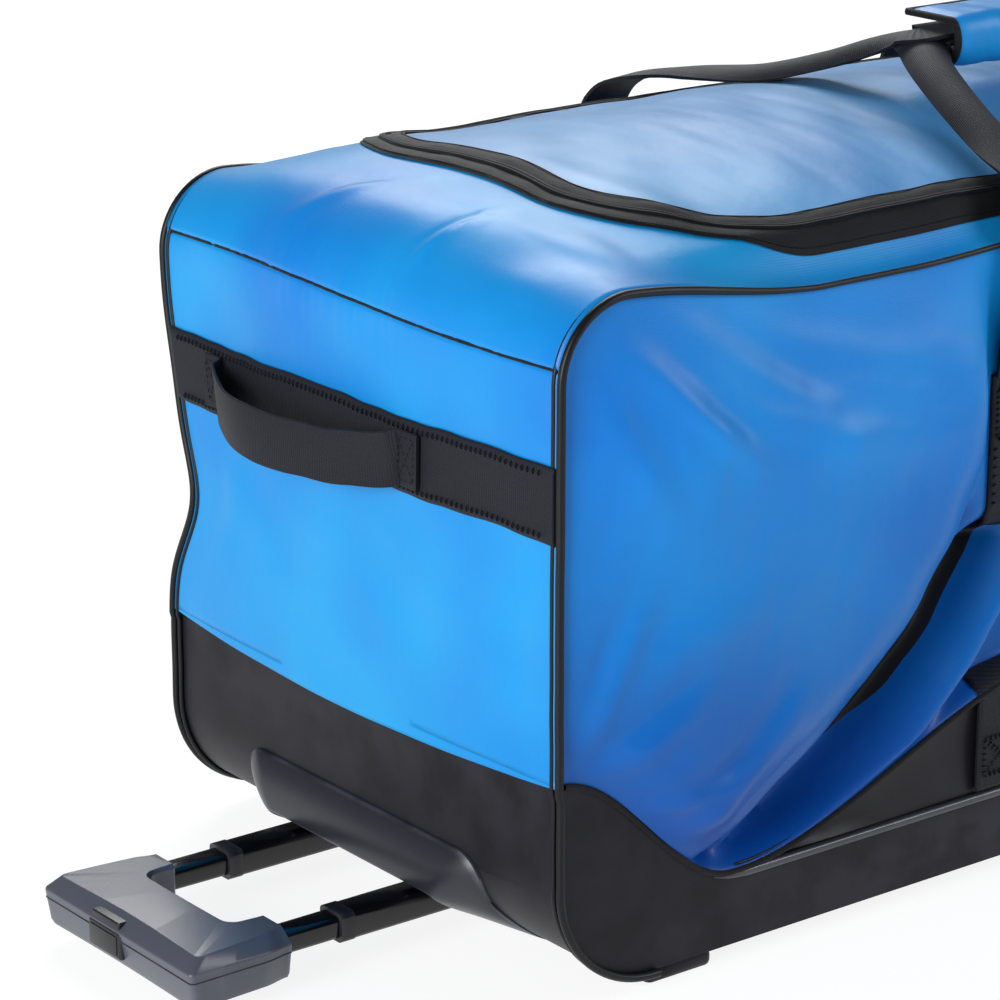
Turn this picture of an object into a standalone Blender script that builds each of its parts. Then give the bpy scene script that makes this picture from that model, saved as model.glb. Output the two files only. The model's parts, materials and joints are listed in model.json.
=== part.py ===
"""Wheeled hockey equipment bag: a soft bag on a moulded base, with a telescopic handle.

Metres, +Z up. The origin is at the middle of the base, on the floor. +X points to the
wheel end, the handle end is at -X, and the near side is at -Y.
"""

import math

import bmesh
import bpy
from mathutils import Vector

# Overall sizes
bag_length = 1.00
bag_width = 0.40
seam_height = 0.425
base_underside = 0.012
bottom_corner_radius = 0.070
top_corner_radius = 0.045
crown = 0.038
end_bulge = 0.006

# Walls and gaps
gap = 0.0003
seam_gap = 0.0010
tub_wall = 0.003
fabric = 0.003
webbing = 0.0022

# Rim of the moulded base
rim_at_ends = 0.145
rim_at_middle = 0.060
rim_run_handle_end = 0.130
rim_run_wheel_end = 0.300
skirt_rise = 0.080
skirt_start = 0.140

# Piping
piping_radius = 0.004

# Lid and zip
lid_start = 0.094
lid_fold = bag_length - 0.100
side_rail_width = 0.028
lid_half_width = bag_width / 2 - side_rail_width
lid_corner_radius = 0.108
lid_inset = 0.0008
lid_crowding = 1.6
zip_tape_width = 0.014
zip_tape_thickness = 0.0014

# Webbing bands and grab loops on the ends
band_height = 0.046
band_middle = 0.312
loop_from = -0.072
loop_to = 0.135
loop_bow = 0.030

# Carry straps
strap_width = 0.038
strap_thickness = 0.0025
strap_spacing = 0.300
strap_pivot_height = 0.330
strap_bow_out = 0.0115
strap_foot_out = 0.005
strap_edge_inset = 0.045
strap_lead_in = strap_width / 2 - 0.014
lid_crossing_height = seam_height + 0.038
grip_height = 0.500
grip_y = -0.030
wrap_length = 0.130
wrap_wall = 0.006

# Telescopic handle
tube_spacing = 0.120
tube_centre_height = 0.0285
tube_wall = 0.0012
outer_tube_size = (0.0262, 0.0218)
mid_tube_size = (0.0220, 0.0180)
inner_tube_size = (0.0180, 0.0142)
outer_tube_length = 0.450
mid_tube_length = 0.440
inner_tube_length = 0.430
slide_clearance = 0.0005
collar_length = 0.010
mid_end = 0.063
grip_outer_face = 0.165
grip_width = 0.154
grip_depth = 0.039
grip_arm_length = 0.022
grip_arm_width = 0.030
grip_thickness = 0.026
button_size = (0.008, 0.032, 0.009)
button_travel = 0.004

# Bezel
bezel_width = 0.234
bezel_top = 0.067
bezel_proud = 0.010
bezel_depth = 0.056
bezel_corner_radius = 0.024
bezel_leg = 0.026
bezel_slot_top = 0.0425

# Wheels
wheel_radius = 0.045
wheel_width = 0.034
wheel_from_end = 0.055
wheel_centre_x = bag_length - wheel_from_end
wheel_inset = 0.025
wheel_centre_y = bag_width / 2 - wheel_inset
wheel_floor_gap = 0.001
wheel_clearance = 0.0045
axle_radius = 0.005
bore_clearance = 0.0002
hub_radius = 0.030

# Runners and feet
runner_width = 0.022
runner_length = 0.700
runner_spacing = 0.130
foot_size = (0.050, 0.026)

half_length = bag_length / 2
half_width = bag_width / 2


def clear_scene():
    for old in list(bpy.data.objects):
        bpy.data.objects.remove(old, do_unlink=True)


clear_scene()
pieces = bpy.data.collections.new("hockey_equipment_bag")
cutters = bpy.data.collections.new("cutters")
bpy.context.scene.collection.children.link(pieces)
bpy.context.scene.collection.children.link(cutters)
cutters.hide_render = True


# ---------------------------------------------------------------- helpers


def from_handle_end(distance):
    """The X of a point this far from the handle end."""
    return distance - half_length


def material(name, colour, roughness, metallic=0.0):
    made = bpy.data.materials.new(name)
    made.use_nodes = True
    shader = made.node_tree.nodes["Principled BSDF"]
    shader.inputs["Base Color"].default_value = (*colour, 1.0)
    shader.inputs["Roughness"].default_value = roughness
    shader.inputs["Metallic"].default_value = metallic
    return made


colours = {
    "blue_fabric": ((0.03, 0.22, 0.72), 0.35, 0.0),
    "black_fabric": ((0.012, 0.012, 0.016), 0.7, 0.0),
    "webbing": ((0.02, 0.02, 0.022), 0.8, 0.0),
    "moulded_black": ((0.018, 0.018, 0.022), 0.45, 0.0),
    "moulded_grey": ((0.09, 0.095, 0.11), 0.4, 0.0),
    "tube_black": ((0.015, 0.015, 0.017), 0.3, 0.6),
    "steel": ((0.5, 0.5, 0.52), 0.3, 1.0),
    "tyre_rubber": ((0.02, 0.02, 0.02), 0.8, 0.0),
    "zip_tape": ((0.01, 0.01, 0.012), 0.75, 0.0),
    "board": ((0.1, 0.1, 0.1), 0.6, 0.0),
}


def place(name, mesh, finish, is_cutter=False):
    """Put a mesh in the scene as one piece with a material of its own, or as a cutter."""
    made = bpy.data.objects.new(name, mesh)
    if is_cutter:
        cutters.objects.link(made)
        made.hide_render = True
        made.display_type = "WIRE"
        return made
    pieces.objects.link(made)
    mesh.materials.clear()
    mesh.materials.append(material(name + "_" + finish, *colours[finish]))
    return made


def block(name, low, high, finish="board", is_cutter=False):
    """A box between two corners."""
    mesh = bpy.data.meshes.new(name)
    form = bmesh.new()
    bmesh.ops.create_cube(form, size=1.0)
    size = [b - a for a, b in zip(low, high)]
    middle = [(a + b) / 2 for a, b in zip(low, high)]
    bmesh.ops.scale(form, vec=size, verts=form.verts)
    form.to_mesh(mesh)
    form.free()
    made = place(name, mesh, finish, is_cutter)
    made.location = middle
    return made


def round_edges(piece, width, segments=2):
    bevel = piece.modifiers.new("rounded_edges", "BEVEL")
    bevel.width = width
    bevel.segments = segments
    bevel.limit_method = "ANGLE"
    bevel.angle_limit = math.radians(40)


def cut(piece, cutter):
    boolean = piece.modifiers.new("cut_" + cutter.name, "BOOLEAN")
    boolean.operation = "DIFFERENCE"
    boolean.object = cutter


def mesh_from_curve(curve, name):
    """The closed mesh of a curve, with its caps welded."""
    holder = bpy.data.objects.new(name, curve)
    bpy.context.scene.collection.objects.link(holder)
    graph = bpy.context.evaluated_depsgraph_get()
    mesh = bpy.data.meshes.new_from_object(holder.evaluated_get(graph))
    bpy.data.objects.remove(holder, do_unlink=True)
    bpy.data.curves.remove(curve)
    form = bmesh.new()
    form.from_mesh(mesh)
    bmesh.ops.remove_doubles(form, verts=form.verts, dist=0.00001)
    bmesh.ops.dissolve_limit(form, angle_limit=0.001, verts=form.verts, edges=form.edges)
    bmesh.ops.recalc_face_normals(form, faces=form.faces)
    form.to_mesh(mesh)
    form.free()
    mesh.name = name
    return mesh


turns = {
    "XY": (0, 0, 0),
    "XZ": (math.pi / 2, 0, 0),
    "YZ": (math.pi / 2, 0, math.pi / 2),
}


def plate(name, outlines, plane, centre, thickness, finish="board", is_cutter=False):
    """A flat outline, with any holes in it, extruded both ways from its plane."""
    curve = bpy.data.curves.new(name, "CURVE")
    curve.dimensions = "2D"
    curve.fill_mode = "BOTH"
    curve.extrude = thickness / 2
    for outline in outlines:
        spline = curve.splines.new("POLY")
        spline.points.add(len(outline) - 1)
        for point, (a, b) in zip(spline.points, outline):
            point.co = (a, b, 0, 1)
        spline.use_cyclic_u = True
    made = place(name, mesh_from_curve(curve, name), finish, is_cutter)
    made.rotation_euler = turns[plane]
    along = {"XY": (0, 0, centre), "XZ": (0, centre, 0), "YZ": (centre, 0, 0)}
    made.location = along[plane]
    return made


def sheet(name, surface, columns, rows, thickness, finish):
    """A thin skin: a grid bent to surface(u, v), which is its outer face, made solid inwards."""
    mesh = bpy.data.meshes.new(name)
    form = bmesh.new()
    bmesh.ops.create_grid(form, x_segments=columns, y_segments=rows, size=0.5)
    for vertex in form.verts:
        vertex.co = surface(vertex.co.x + 0.5, vertex.co.y + 0.5)
    form.to_mesh(mesh)
    form.free()
    made = place(name, mesh, finish)
    skin = made.modifiers.new("thickness", "SOLIDIFY")
    skin.thickness = thickness
    skin.offset = -1.0
    skin.use_even_offset = True
    return made


def arc(cx, cz, radius, start, end, steps):
    """Points round a centre, from one angle to another, in degrees."""
    found = []
    for step in range(steps + 1):
        angle = math.radians(start + (end - start) * step / steps)
        found.append((cx + radius * math.cos(angle), cz + radius * math.sin(angle)))
    return found


def rounded_rectangle(low, high, radius, steps=4):
    (x0, z0), (x1, z1) = low, high
    return (
        arc(x1 - radius, z1 - radius, radius, 0, 90, steps)
        + arc(x0 + radius, z1 - radius, radius, 90, 180, steps)
        + arc(x0 + radius, z0 + radius, radius, 180, 270, steps)
        + arc(x1 - radius, z0 + radius, radius, 270, 360, steps)
    )


def smooth(t):
    """0 to 1 with level ends."""
    t = min(max(t, 0.0), 1.0)
    return t * t * (3 - 2 * t)


def empty_at(name, position):
    made = bpy.data.objects.new(name, None)
    made.location = position
    pieces.objects.link(made)
    return made


def hang_on(parent, *children):
    """Parent pieces to an empty on their joint's axis, where they stand."""
    bpy.context.view_layer.update()
    for child in children:
        child.parent = parent
        child.matrix_parent_inverse = parent.matrix_world.inverted()


# ---------------------------------------------------------------- the bag's outline


def rim_height(x):
    """The top edge of the moulded base: high at the ends, low between them."""
    from_handle = (x + half_length) / rim_run_handle_end
    from_wheels = (half_length - x) / rim_run_wheel_end
    rise = 1 - smooth(min(from_handle, from_wheels))
    return rim_at_middle + (rim_at_ends - rim_at_middle) * rise


def blue_edge_height(x):
    """The lower edge of the blue side panel: it follows the rim, and arches up between."""
    low, high = from_handle_end(skirt_start), from_handle_end(bag_length - rim_run_wheel_end)
    t = min(max((x - low) / (high - low), 0.0), 1.0)
    return rim_height(x) + skirt_rise * math.sin(math.pi * t)


rim_samples = [-half_length + bag_length * k / 48 for k in range(49)]


def base_outline(inset, top):
    """The XZ outline of the lower body, up to a level."""
    r = bottom_corner_radius - inset
    x0, x1 = -half_length + inset, half_length - inset
    z0 = base_underside + inset
    return (
        [(x0, top)]
        + arc(x0 + r, z0 + r, r, 180, 270, 14)
        + arc(x1 - r, z0 + r, r, 270, 360, 14)
        + [(x1, top)]
    )


arc_length = math.pi / 2 * top_corner_radius
end_run = seam_height - top_corner_radius - rim_at_ends
top_run = bag_length - 2 * top_corner_radius


def along_top(x):
    """The distance along the gusset of a point on the top."""
    return end_run + arc_length + x + half_length - top_corner_radius


gusset_run = 2 * (end_run + arc_length) + top_run


def gusset_profile(s):
    """A point of the XZ profile that the gusset follows, and its outward direction."""
    mirrored = s > gusset_run / 2
    s = min(s, gusset_run - s)
    if s < end_run:
        x, z, angle = -half_length, rim_at_ends + s, math.pi
    elif s < end_run + arc_length:
        angle = math.pi - (s - end_run) / top_corner_radius
        x = -half_length + top_corner_radius * (1 + math.cos(angle))
        z = seam_height + top_corner_radius * (math.sin(angle) - 1)
    else:
        x = -half_length + top_corner_radius + s - end_run - arc_length
        z, angle = seam_height, math.pi / 2
    if mirrored:
        x, angle = -x, math.pi - angle
    return x, z, angle


def bulge(s):
    """How far the gusset stands out at mid width: little on the ends, the crown on top."""
    s = min(s, gusset_run - s)
    return end_bulge + (crown - end_bulge) * smooth((s - end_run) / 0.170)


def gusset(s, y, lift=0.0):
    """A point of the gusset's outer face."""
    x, z, angle = gusset_profile(s)
    out = bulge(s) * (1 - (y / half_width) ** 2) + lift
    return Vector((x + out * math.cos(angle), y, z + out * math.sin(angle)))


def gusset_patch(
    name, s0, s1, edges, grid, lift=0.0, thick=fabric, finish="blue_fabric", crowding=1.0
):
    """A skin on the gusset between two runs and two edges, which may vary along it.

    A crowding over 1 puts more of the grid's columns near the first run.
    """

    def surface(u, v):
        s = s0 + (s1 - s0) * u**crowding
        low, high = edges[0](s), edges[1](s)
        return gusset(s, low + (high - low) * v, lift + thick)

    return sheet(name, surface, grid[0], grid[1], thick, finish)


gusset_half = half_width - fabric - gap


def near_edge(s):
    return -gusset_half


def far_edge(s):
    return gusset_half


# ---------------------------------------------------------------- moulded base


def make_base():
    tub = plate("base_tub", [base_outline(0, rim_at_ends)], "XZ", 0, bag_width, "moulded_black")
    inside = plate(
        "tub_inside",
        [base_outline(tub_wall, rim_at_ends + 0.05)],
        "XZ",
        0,
        bag_width - 2 * tub_wall,
        is_cutter=True,
    )
    above = [(x, rim_height(x)) for x in rim_samples]
    above += [(half_length, rim_at_ends + 0.05), (-half_length, rim_at_ends + 0.05)]
    scallop = plate("rim_scallop", [above], "XZ", 0, bag_width + 0.02, is_cutter=True)
    half = bezel_width / 2 + gap
    bezel_seat = block(
        "bezel_seat",
        (-half_length - 0.02, -half, 0.0),
        (-half_length + bezel_depth + gap, half, bezel_top + gap),
        is_cutter=True,
    )
    for cutter in (inside, scallop, bezel_seat):
        cut(tub, cutter)
    for side, name in ((-1, "near"), (1, "far")):
        low, high = wheel_well()
        edges = sorted((side * low[1], side * (half_width + 0.02)))
        well = block(
            name + "_wheel_well",
            (low[0] - gap, edges[0] - (gap if side > 0 else 0), -0.01),
            (half_length + 0.01, edges[1] + (gap if side < 0 else 0), high[2] + gap),
            is_cutter=True,
        )
        cut(tub, well)
    return tub


def wheel_well():
    """The corners of a wheel housing, for the far side."""
    reach = wheel_radius + wheel_clearance + tub_wall
    x = from_handle_end(wheel_centre_x)
    z = wheel_radius + wheel_floor_gap
    inner = wheel_centre_y - wheel_width / 2 - wheel_clearance - tub_wall
    outer = wheel_centre_y + wheel_width / 2 + wheel_clearance + tub_wall
    return (x - reach, inner, base_underside), (x + reach, outer, z + reach)


def housing_outline(inset, foot):
    """A wheel arch: straight at the bag's side, round over the wheel."""
    reach = wheel_radius + wheel_clearance + tub_wall - inset
    x = from_handle_end(wheel_centre_x)
    z = wheel_radius + wheel_floor_gap
    return [(x - reach, foot)] + arc(x, z, reach, 180, 0, 16) + [(x + reach, foot)]


def make_housing(name, side):
    low, high = wheel_well()
    centre = side * (low[1] + high[1]) / 2
    width = high[1] - low[1]
    outline = housing_outline(0, low[2])
    housing = plate(name + "_wheel_housing", [outline], "XZ", centre, width, "moulded_black")
    hollow = plate(
        name + "_wheel_room",
        [housing_outline(tub_wall, -0.02)],
        "XZ",
        centre,
        width - 2 * tub_wall,
        is_cutter=True,
    )
    mouth = block(
        name + "_wheel_mouth",
        (from_handle_end(wheel_centre_x), centre - width / 2 + tub_wall, -0.02),
        (high[0] + 0.01, centre + width / 2 - tub_wall, wheel_radius + wheel_floor_gap),
        is_cutter=True,
    )
    corner_x = half_length - bottom_corner_radius
    corner_z = base_underside + bottom_corner_radius
    beyond = arc(corner_x, corner_z, bottom_corner_radius, 270, 360, 8)
    beyond += [(half_length + 0.02, corner_z), (half_length + 0.02, 0.0), (corner_x, 0.0)]
    rounding = plate(name + "_housing_corner", [beyond], "XZ", centre, width + 0.01, is_cutter=True)
    bore = rod(name + "_axle_hole", axle_radius + bore_clearance, 0.08, side, True)
    for cutter in (hollow, mouth, rounding, bore):
        cut(housing, cutter)
    axle = rod(name + "_axle", axle_radius, width - 0.001, side)
    return housing, axle


def rod(name, radius, length, side, is_cutter=False):
    """A round bar along Y at a wheel's centre."""
    mesh = bpy.data.meshes.new(name)
    form = bmesh.new()
    bmesh.ops.create_cone(
        form, cap_ends=True, segments=24, radius1=radius, radius2=radius, depth=length
    )
    form.to_mesh(mesh)
    form.free()
    made = place(name, mesh, "steel", is_cutter)
    made.rotation_euler = (math.pi / 2, 0, 0)
    made.location = wheel_centre(side)
    return made


def wheel_centre(side):
    return (from_handle_end(wheel_centre_x), side * wheel_centre_y, wheel_radius + wheel_floor_gap)


def turned(name, profile, centre, finish, steps=32):
    """A ring with a closed profile, turned about an axis along Y."""
    mesh = bpy.data.meshes.new(name)
    form = bmesh.new()
    corners = [form.verts.new((r, 0, z)) for r, z in profile]
    for first, second in zip(corners, corners[1:] + corners[:1]):
        form.edges.new((first, second))
    form.to_mesh(mesh)
    form.free()
    made = place(name, mesh, finish)
    screw = made.modifiers.new("turn", "SCREW")
    screw.steps = screw.render_steps = steps
    screw.use_merge_vertices = True
    screw.merge_threshold = 0.0001
    made.rotation_euler = (math.pi / 2, 0, 0)
    made.location = centre
    return made


def make_wheel(name, side):
    half = wheel_width / 2
    shoulder = 0.006
    tread = wheel_radius - 0.002
    tyre = [
        (tread, half - shoulder),
        (wheel_radius, 0.004),
        (wheel_radius, -0.004),
        (tread, -half + shoulder),
        (tread - shoulder, -half),
        (hub_radius + gap, -half),
        (hub_radius + gap, half),
        (tread - shoulder, half),
    ]
    bore = axle_radius + bore_clearance
    dish = 0.007
    hub = [
        (hub_radius, half),
        (hub_radius, -half),
        (hub_radius - 0.004, -half),
        (hub_radius - 0.006, -half + dish),
        (bore + 0.007, -half + dish),
        (bore + 0.005, -half),
        (bore, -half),
        (bore, half),
        (bore + 0.005, half),
        (bore + 0.007, half - dish),
        (hub_radius - 0.006, half - dish),
        (hub_radius - 0.004, half),
    ]
    centre = wheel_centre(side)
    return (
        turned(name + "_tyre", tyre, centre, "tyre_rubber"),
        turned(name + "_wheel_hub", hub, centre, "moulded_grey"),
    )


def make_runners():
    for name, y in (("near", -runner_spacing), ("middle", 0.0), ("far", runner_spacing)):
        block(
            name + "_runner",
            (-runner_length / 2, y - runner_width / 2, 0.0),
            (runner_length / 2, y + runner_width / 2, base_underside - gap),
            "moulded_black",
        )
    for side, name in ((-1, "near"), (1, "far")):
        x = from_handle_end(bottom_corner_radius + foot_size[0] / 2)
        y = side * (half_width - foot_size[1] / 2 - 0.004)
        foot = block(
            name + "_corner_foot",
            (x - foot_size[0] / 2, y - foot_size[1] / 2, 0.0),
            (x + foot_size[0] / 2, y + foot_size[1] / 2, base_underside - gap),
            "moulded_black",
        )
        round_edges(foot, 0.004, 2)


# ---------------------------------------------------------------- soft body


def side_panel_outline():
    """The blue panel: over the top corners and down to its arched lower edge."""
    r = top_corner_radius
    lower = [(x, blue_edge_height(x) + gap) for x in rim_samples]
    upper = arc(half_length - r, seam_height - r, r, 0, 90, 6)
    upper += arc(-half_length + r, seam_height - r, r, 90, 180, 6)
    return lower + upper


def skirt_outline():
    """The black lens between the moulded rim and the blue panel."""
    low, high = from_handle_end(skirt_start), from_handle_end(bag_length - rim_run_wheel_end)
    line = [x for x in rim_samples if low + 0.012 < x < high - 0.012]
    lower = [(x, rim_height(x) + gap) for x in line]
    upper = [(x, blue_edge_height(x) - gap) for x in reversed(line)]
    return lower + upper


def make_sides():
    for side, name in ((-1, "near"), (1, "far")):
        centre = side * (half_width - fabric / 2)
        plate(name + "_side_panel", [side_panel_outline()], "XZ", centre, fabric, "blue_fabric")
        plate(name + "_skirt", [skirt_outline()], "XZ", centre, fabric, "black_fabric")
        for end, x_end in ((-1, "front"), (1, "rear")):
            x = end * strap_spacing / 2
            low = (x - strap_width / 2, rim_at_middle + 0.004)
            high = (x + strap_width / 2, strap_pivot_height - 0.006)
            outline = [low, (high[0], low[1]), high, (low[0], high[1])]
            centre_y = side * (half_width + gap + webbing / 2)
            plate(f"{name}_{x_end}_web", [outline], "XZ", centre_y, webbing, "webbing")


def make_piping():
    """A bead round each side panel's edge, from foot to wheel housing."""
    step = (piping_radius + gap) / math.sqrt(2)
    r_low, r_top = bottom_corner_radius + step, top_corner_radius + step
    x0, x1 = -half_length - step, half_length + step
    z0, z1 = base_underside - step, seam_height + step
    points = [(x0 + r_low + 0.004, z0)]
    points += arc(x0 + r_low, z0 + r_low, r_low, 270, 180, 8)
    points += [(x0, 0.2), (x0, 0.3)]
    points += arc(x0 + r_top, z1 - r_top, r_top, 180, 90, 6)
    points += [(-0.25, z1), (0.0, z1), (0.25, z1)]
    points += arc(x1 - r_top, z1 - r_top, r_top, 90, 0, 6)
    points += [(x1, 0.3), (x1, 0.2), (x1, 0.115)]
    for side, name in ((-1, "near"), (1, "far")):
        curve = bpy.data.curves.new(name + "_piping", "CURVE")
        curve.dimensions = "3D"
        curve.bevel_depth = piping_radius
        curve.bevel_resolution = 1
        curve.use_fill_caps = True
        spline = curve.splines.new("POLY")
        spline.points.add(len(points) - 1)
        y = side * (half_width + step)
        for point, (x, z) in zip(spline.points, points):
            point.co = (x, y, z, 1)
        place(name + "_piping", mesh_from_curve(curve, name + "_piping"), "black_fabric")


lid_edge_s = along_top(from_handle_end(lid_start))
lid_fold_s = along_top(from_handle_end(lid_fold))


def opening_half_width(s):
    """Half the width of the lid opening, rounded at its handle end."""
    into = s - lid_edge_s
    r = lid_corner_radius
    if into >= r:
        return lid_half_width
    return lid_half_width - r + math.sqrt(max(r * r - (r - into) ** 2, 0.0))


def make_gusset():
    """End panels, brows and the rails beside the lid."""
    seam = seam_gap / 2
    panel_end = end_run
    across = (near_edge, far_edge)
    gusset_patch("handle_end_panel", gap, panel_end - seam, across, (3, 12))
    gusset_patch("handle_end_brow", panel_end + seam, lid_edge_s - seam, across, (12, 12))
    gusset_patch("wheel_end_panel", gusset_run - panel_end + seam, gusset_run - gap, across, (3, 12))
    gusset_patch("wheel_end_brow", lid_fold_s + seam, gusset_run - panel_end - seam, across, (12, 12))

    def near_inner(s):
        return -opening_half_width(s) - seam

    def far_inner(s):
        return opening_half_width(s) + seam

    start, end = lid_edge_s + lid_inset, lid_fold_s - lid_inset
    near, far = (near_edge, near_inner), (far_inner, far_edge)
    gusset_patch("near_top_rail", start, end, near, (40, 3), crowding=lid_crowding)
    gusset_patch("far_top_rail", start, end, far, (40, 3), crowding=lid_crowding)


def make_lid():

    def near(s):
        return -opening_half_width(s) + lid_inset

    def far(s):
        return opening_half_width(s) - lid_inset

    start, end = lid_edge_s + lid_inset, lid_fold_s - lid_inset
    lid = gusset_patch("lid_panel", start, end, (near, far), (40, 12), crowding=lid_crowding)
    return lid, zip_strip("zip_tape_lid", -zip_tape_width, -lid_inset)


def zip_strip(name, inner, outer):
    """A tape along the opening's U, between two offsets from its edge, outward positive."""
    r = lid_corner_radius
    straight = lid_fold_s - lid_edge_s - r - 0.004
    bend = math.pi / 2 * r
    across = 2 * (lid_half_width - r)
    run = 2 * (straight + bend) + across
    margin = gap / 2

    def on_path(t):
        """The point (s, y) and outward direction at a share of the U, from the near fold."""
        d = t * run
        sign = -1
        if d > run / 2:
            d, sign = run - d, 1
        if d < straight:
            return (lid_fold_s - 0.004 - d, sign * lid_half_width), (0.0, sign)
        d -= straight
        if d < bend:
            angle = d / r
            centre = (lid_edge_s + r, sign * (lid_half_width - r))
            out = (-math.sin(angle), sign * math.cos(angle))
            return (centre[0] + r * out[0], centre[1] + r * out[1]), out
        d -= bend
        return (lid_edge_s, sign * (lid_half_width - r - d)), (-1.0, 0.0)

    def surface(u, v):
        (s, y), out = on_path(u)
        offset = inner + (outer - inner) * v
        clear = margin if offset > 0 else -margin
        s, y = s + out[0] * (offset + clear), y + out[1] * (offset + clear)
        return gusset(s, y, fabric + gap + zip_tape_thickness + 0.0004)

    return sheet(name, surface, 92, 1, zip_tape_thickness, "zip_tape")


# ---------------------------------------------------------------- end bands and loops


def make_end_band(name, mirrored):
    s_low = band_middle - band_height / 2 - rim_at_ends
    s_high = s_low + band_height
    if mirrored:
        s_low, s_high = gusset_run - s_high, gusset_run - s_low
    lift = fabric + gap
    across = (near_edge, far_edge)
    gusset_patch(name + "_band", s_low, s_high, across, (1, 12), lift, webbing, "webbing")
    top_s = (s_low + s_high) / 2

    def surface(u, v):
        y = loop_from + (loop_to - loop_from) * u
        bow = math.sin(math.pi * u) ** 0.6 * loop_bow if 0 < u < 1 else 0.0
        s = top_s + (v - 0.5) * strap_width
        point = gusset(s, y, lift + webbing + gap + webbing + bow)
        point.z -= 0.25 * bow
        return point

    return sheet(name + "_grab_loop", surface, 18, 1, webbing, "webbing")


# ---------------------------------------------------------------- carry straps


def strap_path(side, level):
    """Half of a strap's middle line, for x below 0 and as if on the far side.

    It runs up the bag's side, leans in over the lid and is level along the grip.
    """
    foot, grip = -strap_spacing / 2, side * grip_y
    reach = -wrap_length / 2 - strap_lead_in - foot
    over = half_width + strap_bow_out
    rise = level - lid_crossing_height

    def over_lid(share, lean, climb):
        """A point some share of the way from the bag's edge to the grip."""
        y = half_width - strap_edge_inset
        y += (grip - y) * share
        return (foot + reach * lean, y, lid_crossing_height + rise * climb)

    return [
        (foot, half_width + strap_foot_out, strap_pivot_height + 0.001),
        (foot + reach * 0.02, half_width + strap_foot_out + 0.003, strap_pivot_height + 0.035),
        (foot + reach * 0.10, over, seam_height - 0.020),
        (foot + reach * 0.15, over - 0.0015, seam_height + 0.008),
        (foot + reach * 0.21, half_width - 0.012, seam_height + 0.026),
        over_lid(0.0, 0.30, 0.0),
        over_lid(0.35, 0.46, 0.42),
        over_lid(0.62, 0.62, 0.72),
        over_lid(0.80, 0.76, 0.89),
        over_lid(0.93, 0.90, 0.98),
        over_lid(1.0, 1.0, 1.0),
        over_lid(1.0, 1.35, 1.0),
        (0.0, grip, level),
    ]


def catmull_rom(points, per_span):
    """A smooth curve through the points."""
    points = [Vector(p) for p in points]
    padded = [2 * points[0] - points[1]] + points + [2 * points[-1] - points[-2]]
    found = []
    for a, b, c, d in zip(padded, padded[1:], padded[2:], padded[3:]):
        for k in range(per_span):
            t = k / per_span
            found.append(
                0.5
                * (
                    2 * b
                    + (c - a) * t
                    + (2 * a - 5 * b + 4 * c - d) * t * t
                    + (3 * b - a - 3 * c + d) * t**3
                )
            )
    found.append(points[-1])
    return found


def make_strap(name, side, level):
    """A hoop of webbing up one side of the bag and over to the grip."""
    half = [Vector((p.x, side * p.y, p.z)) for p in catmull_rom(strap_path(side, level), 3)]
    line = half + [Vector((-p.x, p.y, p.z)) for p in reversed(half[:-1])]
    last = len(line) - 1

    def surface(u, v):
        index = round(u * last)
        point = line[index]
        ahead = (line[min(index + 1, last)] - line[max(index - 1, 0)]).normalized()
        share = smooth((point.z - seam_height + 0.01) / 0.055)
        outward = Vector((0, side * (1 - share), share + 0.02))
        across = ahead.cross(outward).normalized()
        lift = across.cross(ahead).normalized()
        return point + across * (v - 0.5) * strap_width + lift * strap_thickness / 2

    return sheet(name, surface, last, 1, strap_thickness, "webbing")


def make_wrap():
    """A padded sleeve round both grips, an open C whose mouth faces the far side."""
    cavity_high, cavity_low = 0.013, -0.009
    cavity_near = -strap_width / 2 - 0.004
    mouth = strap_width / 2 + 0.003
    radius = 0.010
    w = wrap_wall
    top, low, near = cavity_high + w, cavity_low - w, cavity_near - w
    outer = [(mouth, top)]
    outer += arc(near + radius, top - radius, radius, 90, 180, 4)
    outer += arc(near + radius, low + radius, radius, 180, 270, 4)
    outer += [(mouth, low), (mouth, cavity_low)]
    inner_r = radius - w
    outer += arc(cavity_near + inner_r, cavity_low + inner_r, inner_r, 270, 180, 3)
    outer += arc(cavity_near + inner_r, cavity_high - inner_r, inner_r, 180, 90, 3)
    outer += [(mouth, cavity_high)]
    outline = [(y + grip_y, z + grip_height) for y, z in outer]
    return plate("strap_wrap", [outline], "YZ", 0, wrap_length, "blue_fabric")


# ---------------------------------------------------------------- telescopic handle


def tube(name, size, x0, x1, y, finish="tube_black"):
    """A hollow rectangular tube along X, with rounded corners."""
    z = tube_centre_height
    w, h = size[0] / 2, size[1] / 2
    t = tube_wall
    outer = rounded_rectangle((y - w, z - h), (y + w, z + h), 0.003, 2)
    inner = rounded_rectangle((y - w + t, z - h + t), (y + w - t, z + h - t), 0.0018, 2)
    return plate(name, [outer, inner], "YZ", (x0 + x1) / 2, x1 - x0, finish)


def tube_room(name, size, clearance, x0, x1, y):
    w, h = size[0] / 2 + clearance, size[1] / 2 + clearance
    z = tube_centre_height
    return block(name, (x0, y - w, z - h), (x1, y + w, z + h), is_cutter=True)


def bezel_slot():
    """The room under the hood, back to the round of the base's corner."""
    r = bottom_corner_radius
    corner = (-half_length + r, base_underside + r)
    reach = r + 0.0005
    high = math.degrees(math.asin((bezel_slot_top - corner[1]) / reach))
    front = -half_length - bezel_proud - 0.02
    outline = arc(*corner, reach, 180 - high, 265, 8)
    outline += [(outline[-1][0], -0.01), (front, -0.01), (front, bezel_slot_top)]
    return plate("bezel_slot", [outline], "XZ", 0, bezel_width - 2 * bezel_leg, is_cutter=True)


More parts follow.
